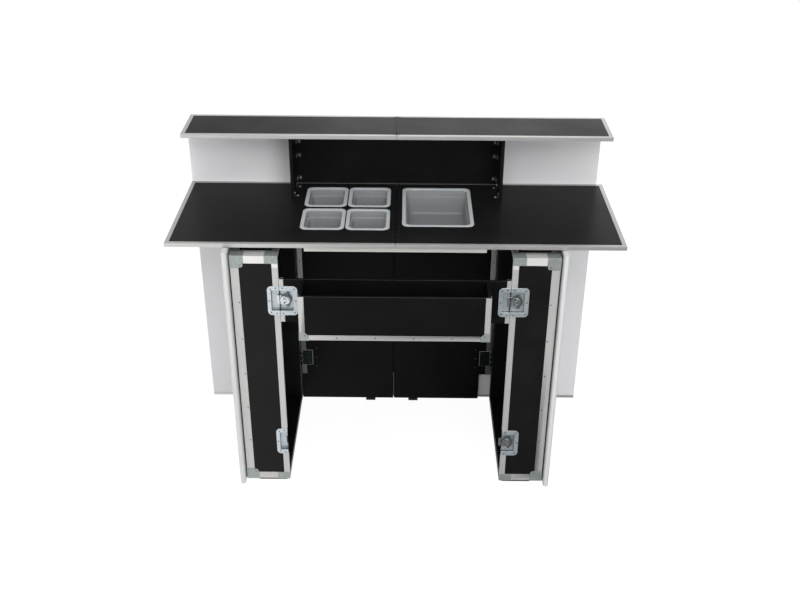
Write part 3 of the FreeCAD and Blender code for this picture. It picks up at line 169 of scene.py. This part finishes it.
glow = add(floor_tree, "ShaderNodeEmission", {"Color": white, "Strength": glow_strength.outputs[0]})
glowing = maths(floor_tree, "MULTIPLY", seen_directly(floor_tree), glow_share)
blend = add(floor_tree, "ShaderNodeMixShader", {0: glowing, 1: matt.outputs[0], 2: glow.outputs[0]})
add(floor_tree, "ShaderNodeOutputMaterial", {"Surface": blend.outputs[0]})
floor_mesh.materials.append(floor_paint)

for name, place, aim, width, power in (
    ("lamp_over", (0.2, -3.0, 4.4), (0, 0, 0.7), 3.0, 132),
    ("lamp_low", (1.9, -4.2, 1.9), (0.2, 0, 0.9), 2.2, 52),
    ("lamp_left", (-4.2, -2.4, 2.4), (0, 0, 0.8), 2.4, 40),
    ("lamp_behind", (0.3, 4.0, 3.6), (0, 0, 1.0), 2.4, 12),
    ("lamp_guests", (0.6, 4.6, 1.0), (0, 0, 0.7), 2.4, 55),
):
    lamp = bpy.data.objects.new(name, bpy.data.lights.new(name, "AREA"))
    lamp.data.energy = power
    lamp.data.size = width
    across, along, rise = np.subtract(aim, place)
    lamp.location = place
    lamp.rotation_euler = (math.atan2(math.hypot(across, along), -rise), 0, math.atan2(-across, along))
    scene.collection.objects.link(lamp)

# Case boards. Plywood faced on both sides with a black phenolic film, sawn square and eased at
# the edges. The aluminium that is riveted round them holds the boards of each half case together.
board_ease = 0.0006
most_noise = (0.3, 0.7)
middle_noise = (0.35, 0.65)
same_point = 1e-6
same_plane = math.radians(1)
sharp_edge = math.radians(30)


def new_finish(name, colour, roughness, metallic=0.0, specular=0.5):
    """A material with plain values on its shader. Returns it, its nodes and its shader."""
    material = bpy.data.materials.new(name)
    material.use_nodes = True
    shader = material.node_tree.nodes["Principled BSDF"]
    shader.inputs["Base Color"].default_value = (*colour, 1)
    shader.inputs["Roughness"].default_value = roughness
    shader.inputs["Metallic"].default_value = metallic
    shader.inputs["Specular IOR Level"].default_value = specular
    return material, material.node_tree, shader


def coordinates(tree, output="Object", factors=(1, 1, 1)):
    """Object or UV coordinates in metres, each multiplied by its own factor."""
    source = add(tree, "ShaderNodeTexCoord").outputs[output]
    return add(tree, "ShaderNodeMapping", {"Vector": source, "Scale": factors}).outputs[0]


def cloud(tree, where, scale, detail=3.0):
    """Soft random values from 0 to 1, with one patch about every 1/scale metres."""
    noise = add(tree, "ShaderNodeTexNoise", {"Vector": where, "Scale": scale, "Detail": detail})
    return noise.outputs["Fac"]


def tint(tree, value, first, second):
    """The first colour where the value is 0, the second where it is 1."""
    mixed = add(tree, "ShaderNodeMix", {0: value, 6: (*first, 1), 7: (*second, 1)}, data_type="RGBA")
    return mixed.outputs[2]


def relief(tree, shader, height, depth):
    """Raise the shader's surface by the height times the depth in metres."""
    bump = add(tree, "ShaderNodeBump", {"Height": height, "Distance": depth, "Strength": 1.0})
    tree.links.new(bump.outputs[0], shader.inputs["Normal"])


def black_film(name, dark, light, sheen, specular):
    """Black film on board: a fine pebble, faint clouds in its sheen, and pale rubbed streaks."""
    material, tree, shader = new_finish(name, dark, sheen[0], specular=specular)
    where = coordinates(tree)
    clouds = cloud(tree, where, scale=7)
    streaks = cloud(tree, coordinates(tree, factors=(5, 5, 90)), scale=3)
    rubbed = spread(tree, streaks, start=0.66, end=0.74, low=0, high=0.5)
    worn = maths(tree, "ADD", spread(tree, clouds, *middle_noise, low=0, high=0.6), rubbed)
    tree.links.new(tint(tree, worn, dark, light), shader.inputs["Base Color"])
    tree.links.new(spread(tree, clouds, *most_noise, *sheen), shader.inputs["Roughness"])
    relief(tree, shader, cloud(tree, where, scale=650, detail=1), depth=0.00006)
    return material


def points_of(mesh):
    """The vertices of a mesh as an array of rows of three."""
    flat = np.zeros(len(mesh.vertices) * 3)
    mesh.vertices.foreach_get("co", flat)
    return flat.reshape(-1, 3)


def solids_of(mesh):
    """The solid that each vertex belongs to, and each solid's lowest and highest corner. A vertex
    takes the lowest number that it touches, again and again, until nothing changes."""
    ends = np.zeros(len(mesh.edges) * 2, int)
    mesh.edges.foreach_get("vertices", ends)
    first, second = ends.reshape(-1, 2).T
    number = np.arange(len(mesh.vertices))
    while True:
        lowest = np.minimum(number[first], number[second])
        following = number.copy()
        np.minimum.at(following, first, lowest)
        np.minimum.at(following, second, lowest)
        following = following[following]
        if (following == number).all():
            break
        number = following
    found, solid = np.unique(number, return_inverse=True)
    points = points_of(mesh)
    lows = np.full((len(found), 3), np.inf)
    highs = -lows
    np.minimum.at(lows, solid, points)
    np.maximum.at(highs, solid, points)
    return solid, lows, highs


def map_along(mesh):
    """UV in metres: U is the place along each solid's longest side, V the sum of the other two."""
    points = points_of(mesh)
    solid, lows, highs = solids_of(mesh)
    long_side = (highs - lows).argmax(axis=1)[solid]
    along = np.take_along_axis(points, long_side[:, None], axis=1)[:, 0]
    place = np.column_stack([along, points.sum(axis=1) - along])
    corners = np.zeros(len(mesh.loops), int)
    mesh.loops.foreach_get("vertex_index", corners)
    mesh.uv_layers.new(name="along").data.foreach_set("uv", place[corners].ravel())


def settle(piece, node, *finishes):
    """Give a finished piece its materials, and let it stand for its node and ride as it does.
    Clearing the old ones would give every face the first finish, so each face's is put back."""
    chosen = np.zeros(len(piece.data.polygons), np.int32)
    piece.data.polygons.foreach_get("material_index", chosen)
    piece.data.materials.clear()
    for finish in finishes:
        piece.data.materials.append(finish)
    piece.data.polygons.foreach_set("material_index", chosen)
    scene.collection.objects.link(piece)
    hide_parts(node)
    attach(piece, frame["nodes"][node]["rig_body"])


def merged(node, smallest=0.0):
    """A copy of a node's mesh with its doubles joined and its flat faces whole, without the
    solids whose longest side is under the smallest length. Returns it and their boxes."""
    mesh = frame["nodes"][node].data.copy()
    work = bmesh.new()
    work.from_mesh(mesh)
    bmesh.ops.remove_doubles(work, verts=work.verts, dist=same_point)
    work.to_mesh(mesh)
    solid, lows, highs = solids_of(mesh)
    small = (highs - lows).max(axis=1) < smallest
    work.verts.ensure_lookup_table()
    left_out = [work.verts[index] for index in np.flatnonzero(small[solid])]
    bmesh.ops.delete(work, geom=left_out, context="VERTS")
    bmesh.ops.dissolve_limit(work, angle_limit=same_plane, verts=work.verts, edges=work.edges)
    work.to_mesh(mesh)
    work.free()
    return mesh, lows[small], highs[small]


def held_close(piece, node, reach):
    """Fix the rounding into the mesh. Next to an edge shorter than its radius it throws points
    far off, so a point past the reach goes back to the nearest place on the solid's surface."""
    scene.collection.objects.link(piece)
    rounded = bpy.data.meshes.new_from_object(piece.evaluated_get(bpy.context.evaluated_depsgraph_get()))
    scene.collection.objects.unlink(piece)
    piece.modifiers.clear()
    piece.data = rounded
    plain = frame["nodes"][node].data
    plain.calc_loop_triangles()
    corners = np.zeros(len(plain.loop_triangles) * 3, np.int32)
    plain.loop_triangles.foreach_get("vertices", corners)
    surface = BVHTree.FromPolygons(points_of(plain).tolist(), corners.reshape(-1, 3).tolist())
    for vertex in rounded.vertices:
        place, _, _, distance = surface.find_nearest(vertex.co)
        if distance > reach:
            vertex.co = place


def eased(node, radius, finish, worn=None, heads=None, short_edges=False):
    """A copy of a node with its edges rounded by the radius and, if wished, another finish on the
    rounding, where the edges are rubbed and, on the hinges, also painted with a highlight. Heads are the
    two finishes of its screw heads, which are made apart. Where some edges are shorter than the radius,
    the rounding is held close to the solid."""
    mesh, lows, highs = merged(node, head_size if heads else 0.0)
    while mesh.uv_layers:
        mesh.uv_layers.remove(mesh.uv_layers[0])
    map_along(mesh)
    mesh.shade_smooth()
    piece = bpy.data.objects.new(node + "_eased", mesh)
    rounding = piece.modifiers.new("rounding", "BEVEL")
    rounding.width = radius
    rounding.segments = 2
    rounding.limit_method = "ANGLE"
    rounding.angle_limit = sharp_edge
    rounding.use_clamp_overlap = False
    finishes = [finish]
    if worn:
        rounding.material = 1
        finishes.append(worn)
    if short_edges:
        mesh.materials.clear()
        for each in finishes:
            mesh.materials.append(each)
        held_close(piece, node, radius)
    flatness = piece.modifiers.new("flatness", "WEIGHTED_NORMAL")
    flatness.keep_sharp = True
    if heads:
        add_heads(node, lows, highs, *heads)
    settle(piece, node, *finishes)


film_black = black_film(
    "film_black", (0.0055, 0.0055, 0.0058), (0.009, 0.009, 0.0094), sheen=(0.38, 0.52), specular=0.1)
film_rubbed = black_film(
    "film_rubbed", (0.02, 0.02, 0.021), (0.04, 0.04, 0.041), sheen=(0.4, 0.55), specular=0.3)
for node in ("case_side_board_left", "case_side_board_right", "case_end_boards", "case_cap_boards"):
    eased(node, board_ease, film_black, film_rubbed)

# Case aluminium. Satin anodised extrusions on every edge, with fine ribs and faint draw lines that run
# along each length. Those on the guests' side, behind the panels, are painted dark as shade, and the deep
# legs along the tops of the cases are painted paler, as light on them.
profile_ease = 0.0003
unshaded_up_to = 0.28
painted_shade_from = 0.3
painted_shade_share = 0.12
cap_leg = 0.045
cap_leg_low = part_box("case_edge_angles")[1][2] - cap_leg
cap_leg_painted_light = 1.45
cap_leg_blend = 0.003


def shaded(colour, shares):
    """A colour with each of its three parts multiplied by its own share."""
    return tuple(part * share for part, share in zip(colour, shares))


def drawn_aluminium(name, colour, sheen, rib_pitch, metallic):
    """Anodised metal: ribs at the pitch across the piece, draw lines along it, and patches of softer
    sheen. The groove between two ribs is deepest at each whole pitch and fades beside it, and it is
    painted darker as the shade in it; the draw lines are darker marks."""
    material, tree, shader = new_finish(name, colour, sheen[0], metallic=metallic)
    lines = cloud(tree, coordinates(tree, "UV", (4, 900, 1)), scale=1.5, detail=4)
    patches = cloud(tree, coordinates(tree), scale=14)
    dulled = maths(tree, "MULTIPLY", lines, patches)
    tree.links.new(spread(tree, dulled, 0.1, 0.45, *sheen), shader.inputs["Roughness"])
    pitches = coordinates(tree, "UV", (1, 1 / rib_pitch, 1))
    across = add(tree, "ShaderNodeSeparateXYZ", {"Vector": pitches}).outputs[1]
    groove = spread(tree, maths(tree, "PINGPONG", across, 0.5), start=0.0, end=0.09, low=1, high=0)
    # Painted shade in the grooves, together with the darker draw lines.
    shade = maths(tree, "MAXIMUM", groove, spread(tree, lines, start=0.42, end=0.62, low=0, high=0.55))
    darker = shaded(colour, (0.74, 0.73, 0.71))
    tree.links.new(tint(tree, shade, colour, darker), shader.inputs["Base Color"])
    height = maths(tree, "SUBTRACT", maths(tree, "MULTIPLY", lines, 0.15), groove)
    relief(tree, shader, height, depth=0.00012)
    return material


def graded(material, axis, stops):
    """Multiply the base colour by shares that are set at places along an axis, in metres, and run evenly
    between them: painted shade and painted light that change across a piece."""
    tree = material.node_tree
    base = tree.nodes["Principled BSDF"].inputs["Base Color"]
    before = base.links[0].from_socket
    place = add(tree, "ShaderNodeSeparateXYZ", {"Vector": coordinates(tree)}).outputs[axis]
    first, last = stops[0][0], stops[-1][0]
    ramp = add(tree, "ShaderNodeValToRGB", {"Fac": spread(tree, place, first, last, 0, 1)})
    elements = ramp.color_ramp.elements
    for where, share in stops[1:-1]:
        elements.new((where - first) / (last - first)).color = (share, share, share, 1)
    for element, (_, share) in ((elements[0], stops[0]), (elements[-1], stops[-1])):
        element.color = (share, share, share, 1)
    product = add(tree, "ShaderNodeMix", {0: 1.0, 6: before, 7: ramp.outputs[0]},
                  data_type="RGBA", blend_type="MULTIPLY")
    tree.links.new(product.outputs[2], base)


case_aluminium = drawn_aluminium(
    "case_aluminium", (0.48, 0.48, 0.47), sheen=(0.36, 0.52), rib_pitch=0.0075, metallic=0.3)
# Painted shade: the aluminium behind the panels is darkened.
graded(case_aluminium, 1, [(unshaded_up_to, 1), (painted_shade_from, painted_shade_share)])
# Painted light: the deep legs along the case tops are made paler.
graded(case_aluminium, 2, [(cap_leg_low - cap_leg_blend, 1), (cap_leg_low, cap_leg_painted_light)])
for node in ("case_edge_angles", "case_rim_profiles"):
    eased(node, profile_ease, case_aluminium)

# Corner plates. Pressed from sheet steel and zinc plated, which leaves a cool greenish sheen
# with a faint crystal pattern, and riveted over the corners of the cases.
plate_ease = 0.0006


def zinc(name, colour, sheen, metallic=0.8, specular=0.5):
    """Plated steel: small crystal patches that differ a little in tone and sheen."""
    material, tree, shader = new_finish(name, colour, sheen[0], metallic, specular)
    where = coordinates(tree)
    crystals = add(tree, "ShaderNodeTexVoronoi", {"Vector": where, "Scale": 220.0}).outputs["Color"]
    tone = add(tree, "ShaderNodeSeparateColor", {"Color": crystals}).outputs[0]
    smears = cloud(tree, where, scale=40)
    bloom = spread(tree, maths(tree, "MULTIPLY", tone, smears), start=0.05, end=0.5, low=0, high=1)
    darker = shaded(colour, (0.84, 0.84, 0.84))
    tree.links.new(tint(tree, bloom, darker, colour), shader.inputs["Base Color"])
    tree.links.new(spread(tree, smears, *most_noise, *sheen), shader.inputs["Roughness"])
    relief(tree, shader, cloud(tree, where, scale=400, detail=2), depth=0.00001)
    return material


plate_steel = zinc("plate_steel", (0.29, 0.32, 0.305), sheen=(0.36, 0.5), metallic=0.35)
eased("case_corner_plates", plate_ease, plate_steel)

# Rivets and screws. Blind rivets with domed heads hold the cases, latches, trough and strips. Each head
# has the hole where its pin broke off, painted dark as the shade in it. Small screws elsewhere are turned
# alike.
head_size = 0.0085
head_facing = np.array([0.0, -1.0, 2.0])
head_columns = 20
head_radius_shares = np.array([1, 1, 0.94, 0.8, 0.62, 0.5, 0.42, 0.39, 0.38, 0.3, 0.08])
head_height_shares = np.array([0, 0.3, 0.56, 0.82, 0.96, 1, 0.92, 0.55, 0.25, 0.3, 0.36])
hole_row = 5
creased_edge = math.radians(50)


def closed(name, grids):
    """One mesh from like grids of rows and columns. Each grid's last column joins its first, and
    its first and last rows are closed by a flat face."""
    count, rows, columns = grids.shape[:3]
    row, column = np.meshgrid(np.arange(rows - 1), np.arange(columns), indexing="ij")
    following = (column + 1) % columns
    quads = np.stack([
        row * columns + column, row * columns + following,
        (row + 1) * columns + following, (row + 1) * columns + column], axis=-1).reshape(-1, 4)
    ends = np.stack([np.arange(columns)[::-1], np.arange(columns) + (rows - 1) * columns])
    starts = np.arange(count)[:, None, None] * rows * columns
    faces = (starts + quads).reshape(-1, 4).tolist() + (starts + ends).reshape(-1, columns).tolist()
    mesh = bpy.data.meshes.new(name)
    mesh.from_pydata(grids.reshape(-1, 3).tolist(), [], faces)
    mesh.shade_smooth()
    mesh.set_sharp_from_angle(angle=creased_edge)
    return mesh


def add_heads(node, lows, highs, finish, painted_shade_in_hole):
    """Turned heads in the boxes given: a profile of shares of radius and height is carried round each
    box's thin axis, towards a place in front of and above the bar. Its inner rows and the flat ends get
    the painted shade of the hole."""
    size = highs - lows
    axis = size.argmin(axis=1)
    along = np.eye(3)[axis]
    along *= np.sign(head_facing - (lows + highs) / 2)[np.arange(len(axis)), axis][:, None]
    side = np.roll(along, 1, axis=1)
    other = np.cross(along, side)
    height = (size * np.abs(along)).sum(axis=1)
    radius = (size.sum(axis=1) - height) / 4
    base = (lows + highs) / 2 - along * height[:, None] / 2
    angle = np.linspace(0, 2 * math.pi, head_columns, endpoint=False)

    def laid(direction, length, share):
        """Offsets of every grid point: the head's direction times its length times the share."""
        return direction[:, None, None, :] * (length[:, None, None] * share)[..., None]

    reach = head_radius_shares[:, None]
    raised = head_height_shares[:, None] * np.ones(head_columns)
    grids = (base[:, None, None, :] + laid(along, height, raised)
             + laid(side, radius, reach * np.cos(angle)) + laid(other, radius, reach * np.sin(angle)))
    mesh = closed(node + "_heads", grids)
    quads = (grids.shape[1] - 1) * head_columns
    within = np.arange(len(mesh.polygons)) % quads // head_columns >= hole_row
    ends = np.arange(len(mesh.polygons)) >= quads * len(lows)
    mesh.polygons.foreach_set("material_index", np.where(ends, 1, within).astype(np.int32))
    settle(bpy.data.objects.new(node + "_heads", mesh), node, finish, painted_shade_in_hole)


rivet_steel = zinc("rivet_steel", (0.2, 0.21, 0.21), sheen=(0.34, 0.5))
painted_hole_shade = zinc("painted_hole_shade", (0.03, 0.03, 0.03), sheen=(0.5, 0.6))
_, rivet_lows, rivet_highs = merged("rivets", head_size)
add_heads("rivets", rivet_lows, rivet_highs, rivet_steel, painted_hole_shade)

# Feet. Black rubber skids under the cases and small blocks under the folding middle, moulded
# with soft corners and a dull, dusty skin.
skid_ease = 0.002


def dull_black(name, colour, roughness, grain):
    """Rubber or plastic: an even fine grain with dusty patches."""
    material, tree, shader = new_finish(name, colour, roughness, specular=0.2)
    where = coordinates(tree)
    dust = spread(tree, cloud(tree, where, scale=25), start=0.4, end=0.75, low=0, high=1)
    lighter = tuple(part + 0.01 for part in colour)
    tree.links.new(tint(tree, dust, colour, lighter), shader.inputs["Base Color"])
    relief(tree, shader, cloud(tree, where, grain, detail=2), depth=0.0001)
    return material


rubber_black = dull_black("rubber_black", (0.01, 0.01, 0.01), roughness=0.75, grain=500)
eased("feet", skid_ease, rubber_black)

# Latches. Zinc-plated pressings let into the boards across each seam. A dished plate on one side
# holds a turning disc with a folding bow, and the plate on the other side holds the hook's lug.
dish_ease = 0.0008
latch_ease = 0.0004
latch_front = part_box("latch_dishes")[0][1]
flange_depth = 0.0031
pocket_floor = 0.0145
pocket_blend = 0.001
pocket_wall_painted_shade = 0.22
pocket_floor_painted_shade = 0.92
dish_steel = zinc("dish_steel", (0.48, 0.53, 0.56), sheen=(0.28, 0.42), metallic=0.6)
# Painted shade in the dish: its pocket walls much darker, and its pocket floor a little darker, than the
# flange.
graded(dish_steel, 1, [
    (latch_front + flange_depth, 1),
    (latch_front + 2 * flange_depth, pocket_wall_painted_shade),
    (latch_front + pocket_floor - pocket_blend, pocket_wall_painted_shade),
    (latch_front + pocket_floor, pocket_floor_painted_shade),
])
for node in ("latch_dishes", "latch_catches"):
    eased(node, dish_ease, dish_steel)
latch_steel = zinc("latch_steel", (0.5, 0.53, 0.54), sheen=(0.18, 0.32), metallic=1.0)
for name in ("upper_left", "upper_right", "lower"):
    for part in ("hook", "spindle", "bow"):
        eased(f"latch_{part}_{name}", latch_ease, latch_steel, short_edges=part == "bow")

# Bottle trough. An open box of the same black board in front of a back board that reaches from
# case to case, with small aluminium angles and pressed plates on its edges and corners.
trough_ease = 0.0007
film_trough = black_film(
    "film_trough", (0.0035, 0.0035, 0.0037), (0.006, 0.006, 0.0062), sheen=(0.4, 0.52), specular=0.06)
for node in ("trough_back_board", "trough_front_board", "trough_floor_board", "trough_end_boards"):
    eased(node, trough_ease, film_trough, film_rubbed)
trough_aluminium = drawn_aluminium(
    "trough_aluminium", (0.5, 0.5, 0.495), sheen=(0.34, 0.5), rib_pitch=0.01, metallic=0.45)
eased("trough_edge_profiles", profile_ease, trough_aluminium)
eased("trough_corner_plates", plate_ease, plate_steel)

# Folding middle. Two black boards with aluminium strips on their outer edges, hung on dark plated butt
# hinges whose rubbed edges are painted pale, as wear and as a painted highlight, and folding at a long
# hinge between them. The strips are in shade towards the floor.
hinge_ease = 0.0008
strip_shade_top = 0.7
strip_shade_foot = 0.3
strip_foot_share = 0.3
film_middle = black_film(
    "film_middle", (0.0045, 0.0045, 0.0048), (0.008, 0.008, 0.0084), sheen=(0.38, 0.5), specular=0.07)
for node in ("middle_board_left", "middle_board_right"):
    eased(node, board_ease, film_middle)
bolt_black = zinc("bolt_black", (0.06, 0.06, 0.06), sheen=(0.3, 0.45))
hinge_dark = zinc("hinge_dark", (0.008, 0.016, 0.013), sheen=(0.35, 0.5), metallic=0.4, specular=0.15)
# The hinges' rounded edges are painted pale, for rubbed metal and for the painted edge highlight.
hinge_edge_wear_and_highlight = zinc("hinge_edge_wear_and_highlight", (0.75, 0.8, 0.78), sheen=(0.3, 0.45))
eased("fold_hinges", hinge_ease, hinge_dark, hinge_edge_wear_and_highlight, heads=(bolt_black, painted_hole_shade), short_edges=True)
strip_aluminium = drawn_aluminium(
    "strip_aluminium", (0.5, 0.5, 0.5), sheen=(0.4, 0.55), rib_pitch=0.0105, metallic=0.4)
graded(strip_aluminium, 2, [(strip_shade_foot, strip_foot_share), (strip_shade_top, 1)])
eased("middle_edge_strips", profile_ease, strip_aluminium)

# White panels. Melamine-faced board with eased edges, standing in aluminium channels on the
# guests' side, and thicker side panels with a round front edge. Black spacers with bolts keep
# them off the cases.
panel_ease = 0.001
spacer_ease = 0.0006


def white_melamine(name, colour):
    """Matt white facing: a faint orange peel and very slight warm and cool patches."""
    material, tree, shader = new_finish(name, colour, 0.45, specular=0.4)
    where = coordinates(tree)
    patches = spread(tree, cloud(tree, where, scale=3), *middle_noise, low=0, high=1)
    cooler = shaded(colour, (0.965, 0.97, 0.985))
    tree.links.new(tint(tree, patches, cooler, colour), shader.inputs["Base Color"])
    relief(tree, shader, cloud(tree, where, scale=260, detail=2), depth=0.00004)
    return material


white_panel = white_melamine("white_panel", (0.77, 0.77, 0.78))
for node in ("front_panel_left", "front_panel_centre", "front_panel_right",
             "upper_panel_left", "upper_panel_right"):
    eased(node, panel_ease, white_panel)
# The side panels are the same melamine, painted darker as shade on them.
white_side_painted_shade = white_melamine("white_side_painted_shade", (0.6, 0.6, 0.6))
for node in ("side_panel_left", "side_panel_right"):
    eased(node, panel_ease, white_side_painted_shade)
eased("front_panel_channels", profile_ease, trough_aluminium)
plastic_black = dull_black("plastic_black", (0.012, 0.012, 0.013), roughness=0.5, grain=300)
eased("panel_spacers", spacer_ease, plastic_black, heads=(bolt_black, painted_hole_shade))

# Work counter. Two boards of black laminate edged with a flush aluminium channel, joined by a
# riveted hinge, with battens over the cases and an aluminium angle under the seam.
laminate_ease = 0.0002
edging_ease = 0.0005
laminate_black = black_film(
    "laminate_black", (0.008, 0.008, 0.0085), (0.011, 0.011, 0.0115), sheen=(0.3, 0.4), specular=0.05)
for node in ("counter_board_left", "counter_board_right"):
    eased(node, laminate_ease, laminate_black)
edge_aluminium = drawn_aluminium(
    "edge_aluminium", (0.44, 0.435, 0.43), sheen=(0.34, 0.48), rib_pitch=0.0075, metallic=0.72)
eased("counter_edge_profiles", edging_ease, edge_aluminium)
hinge_black = zinc("hinge_black", (0.003, 0.003, 0.003), sheen=(0.55, 0.65), metallic=0.0)
eased("counter_hinge", profile_ease, hinge_black, heads=(hinge_black, painted_hole_shade))
eased("counter_battens", board_ease, film_black)
mill_aluminium = drawn_aluminium(
    "mill_aluminium", (0.64, 0.63, 0.6), sheen=(0.34, 0.48), rib_pitch=0.018, metallic=0.2)
eased("counter_stiffener", profile_ease, mill_aluminium)

# Pans. Moulded in milky plastic, with a flat rim on the counter, a stacking step inside below the
# mouth, sides that draw in towards the floor, and rounded corners all over.
pan_fall = 0.1
pan_corner = 0.024
corner_loss_share = 0.25
pan_flange = 0.012
rim_rise = 0.003
pan_wall = 0.0022
step_fall = 0.026
step_width = 0.005
side_draw = 0.005
mouth_curve = 0.003
foot_curve = 0.012
pan_columns = 96
pan_floor_painted_shade = 0.46
pan_step_painted_shade = 0.5
pan_mouth_painted_shade = 0.53


def arc(inset, height, radius, start, end, steps=6):
    """Places on an arc, as inset and height: the centre plus r (cos t, sin t), t in degrees."""
    angle = np.radians(np.linspace(start, end, steps))
    return np.column_stack([inset + radius * np.cos(angle), height + radius * np.sin(angle)])


def pan_side():
    """The pan's section as insets from its rim's edge and heights over the counter: under the
    floor, up the outside, round the rim, down inside past the step, and to the floor."""
    foot = pan_flange + step_width + side_draw
    mouth = pan_flange + pan_wall
    outside = [
        arc(foot + foot_curve, foot_curve - pan_fall, foot_curve, -90, -175),
        [(pan_flange + step_width, -step_fall - step_width), (pan_flange, -step_fall), (pan_flange, 0)],
    ]
    rim = [
        arc(rim_rise / 2, rim_rise / 2, rim_rise / 2, -90, -270),
        arc(mouth - mouth_curve, rim_rise - mouth_curve, mouth_curve, 90, 0),
    ]
    inside = [
        arc(mouth + pan_wall, -step_fall + pan_wall / 2, pan_wall, 180, 270, steps=4),
        arc(mouth + step_width - pan_wall / 2, -step_fall - pan_wall * 3 / 2, pan_wall, 90, 0, steps=4),
        arc(foot + pan_wall + foot_curve, pan_wall + foot_curve - pan_fall, foot_curve, 185, 270, steps=8),
        [(foot + 3 * foot_curve, pan_wall - pan_fall)],
    ]
    return np.concatenate([np.asarray(stretch) for stretch in outside + rim + inside])


def pan_skin(low, high):
    """The section carried round a rounded rectangle. At the angle t a point is its corner's
    middle plus r (cos t, sin t), where r shrinks by a share of the inset."""
    inset, height = pan_side().T[:, :, None]
    angle = (np.arange(pan_columns) + 0.5) * 2 * math.pi / pan_columns
    radius = pan_corner - corner_loss_share * inset
    half = (high - low)[:2] / 2
    across = np.sign(np.cos(angle)) * (half[0] - inset - radius) + radius * np.cos(angle)
    along = np.sign(np.sin(angle)) * (half[1] - inset - radius) + radius * np.sin(angle)
    middle = (low + high) / 2
    up = high[2] - rim_rise + height * np.ones(pan_columns)
    return np.stack([middle[0] + across, middle[1] + along, up], axis=-1)


def milky_plastic(name, colour):
    """Frosted plastic that lets some light through: a fine grain with cooler patches."""
    material, tree, shader = new_finish(name, colour, 0.34, specular=0.4)
    shader.inputs["Transmission Weight"].default_value = 0.3
    shader.inputs["IOR"].default_value = 1.3
    where = coordinates(tree)
    patches = spread(tree, cloud(tree, where, scale=14), *middle_noise, low=0, high=1)
    cooler = shaded(colour, (0.93, 0.95, 0.98))
    tree.links.new(tint(tree, patches, cooler, colour), shader.inputs["Base Color"])
    frosting = spread(tree, cloud(tree, where, scale=30), *most_noise, low=0.3, high=0.42)
    tree.links.new(frosting, shader.inputs["Roughness"])
    relief(tree, shader, cloud(tree, where, scale=300, detail=2), depth=0.00005)
    return material


pan_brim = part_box("pan_large")[1][2]
pan_plastic = milky_plastic("pan_plastic", (0.7, 0.72, 0.73))
# Painted shade inside the pans: darkest at the floor, a little less at the step and mouth, none at the
# brim.
graded(pan_plastic, 2, [
    (pan_brim - pan_fall, pan_floor_painted_shade),
    (pan_brim - step_fall, pan_step_painted_shade),
    (pan_brim - 2 * rim_rise, pan_mouth_painted_shade),
    (pan_brim, 1),
])
for node in ("pan_outer_front", "pan_outer_back", "pan_inner_front", "pan_inner_back", "pan_large"):
    skin = pan_skin(*(np.array(corner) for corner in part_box(node)))
    moulding = closed(node + "_moulded", skin[None])
    settle(bpy.data.objects.new(node + "_moulded", moulding), node, pan_plastic)

# Riser. A black back board and two cheeks that stand on the counter and carry the guests' top.
# Small black angle brackets with bright screws hold them in the corners.
bracket_ease = 0.0004
film_riser = black_film(
    "film_riser", (0.005, 0.005, 0.0052), (0.008, 0.008, 0.0083), sheen=(0.4, 0.52), specular=0.08)
for node in ("riser_back_board", "riser_cheek_left", "riser_cheek_right"):
    eased(node, board_ease, film_riser)
bracket_black = zinc("bracket_black", (0.03, 0.03, 0.03), sheen=(0.35, 0.5), metallic=0.4)
screw_bright = zinc("screw_bright", (0.6, 0.6, 0.6), sheen=(0.3, 0.42), metallic=0.5)
eased("riser_brackets", bracket_ease, bracket_black, heads=(screw_bright, painted_hole_shade))

# Guests' top. Two halves of the same laminate and edging as the counter, the laminate painted a little
# lighter as the light on the top, with a black hinge along the seam on top, so that the left half folds
# over onto the right one.
laminate_top_painted_light = black_film(
    "laminate_top_painted_light", (0.011, 0.011, 0.0113), (0.015, 0.015, 0.0153), sheen=(0.34, 0.44), specular=0.045)
for side in ("left", "right"):
    eased(f"top_board_{side}", laminate_ease, laminate_top_painted_light)
    eased(f"top_edge_profile_{side}", edging_ease, edge_aluminium)
    eased(f"top_hinge_leaf_{side}", laminate_ease, laminate_top_painted_light, heads=(hinge_black, painted_hole_shade))
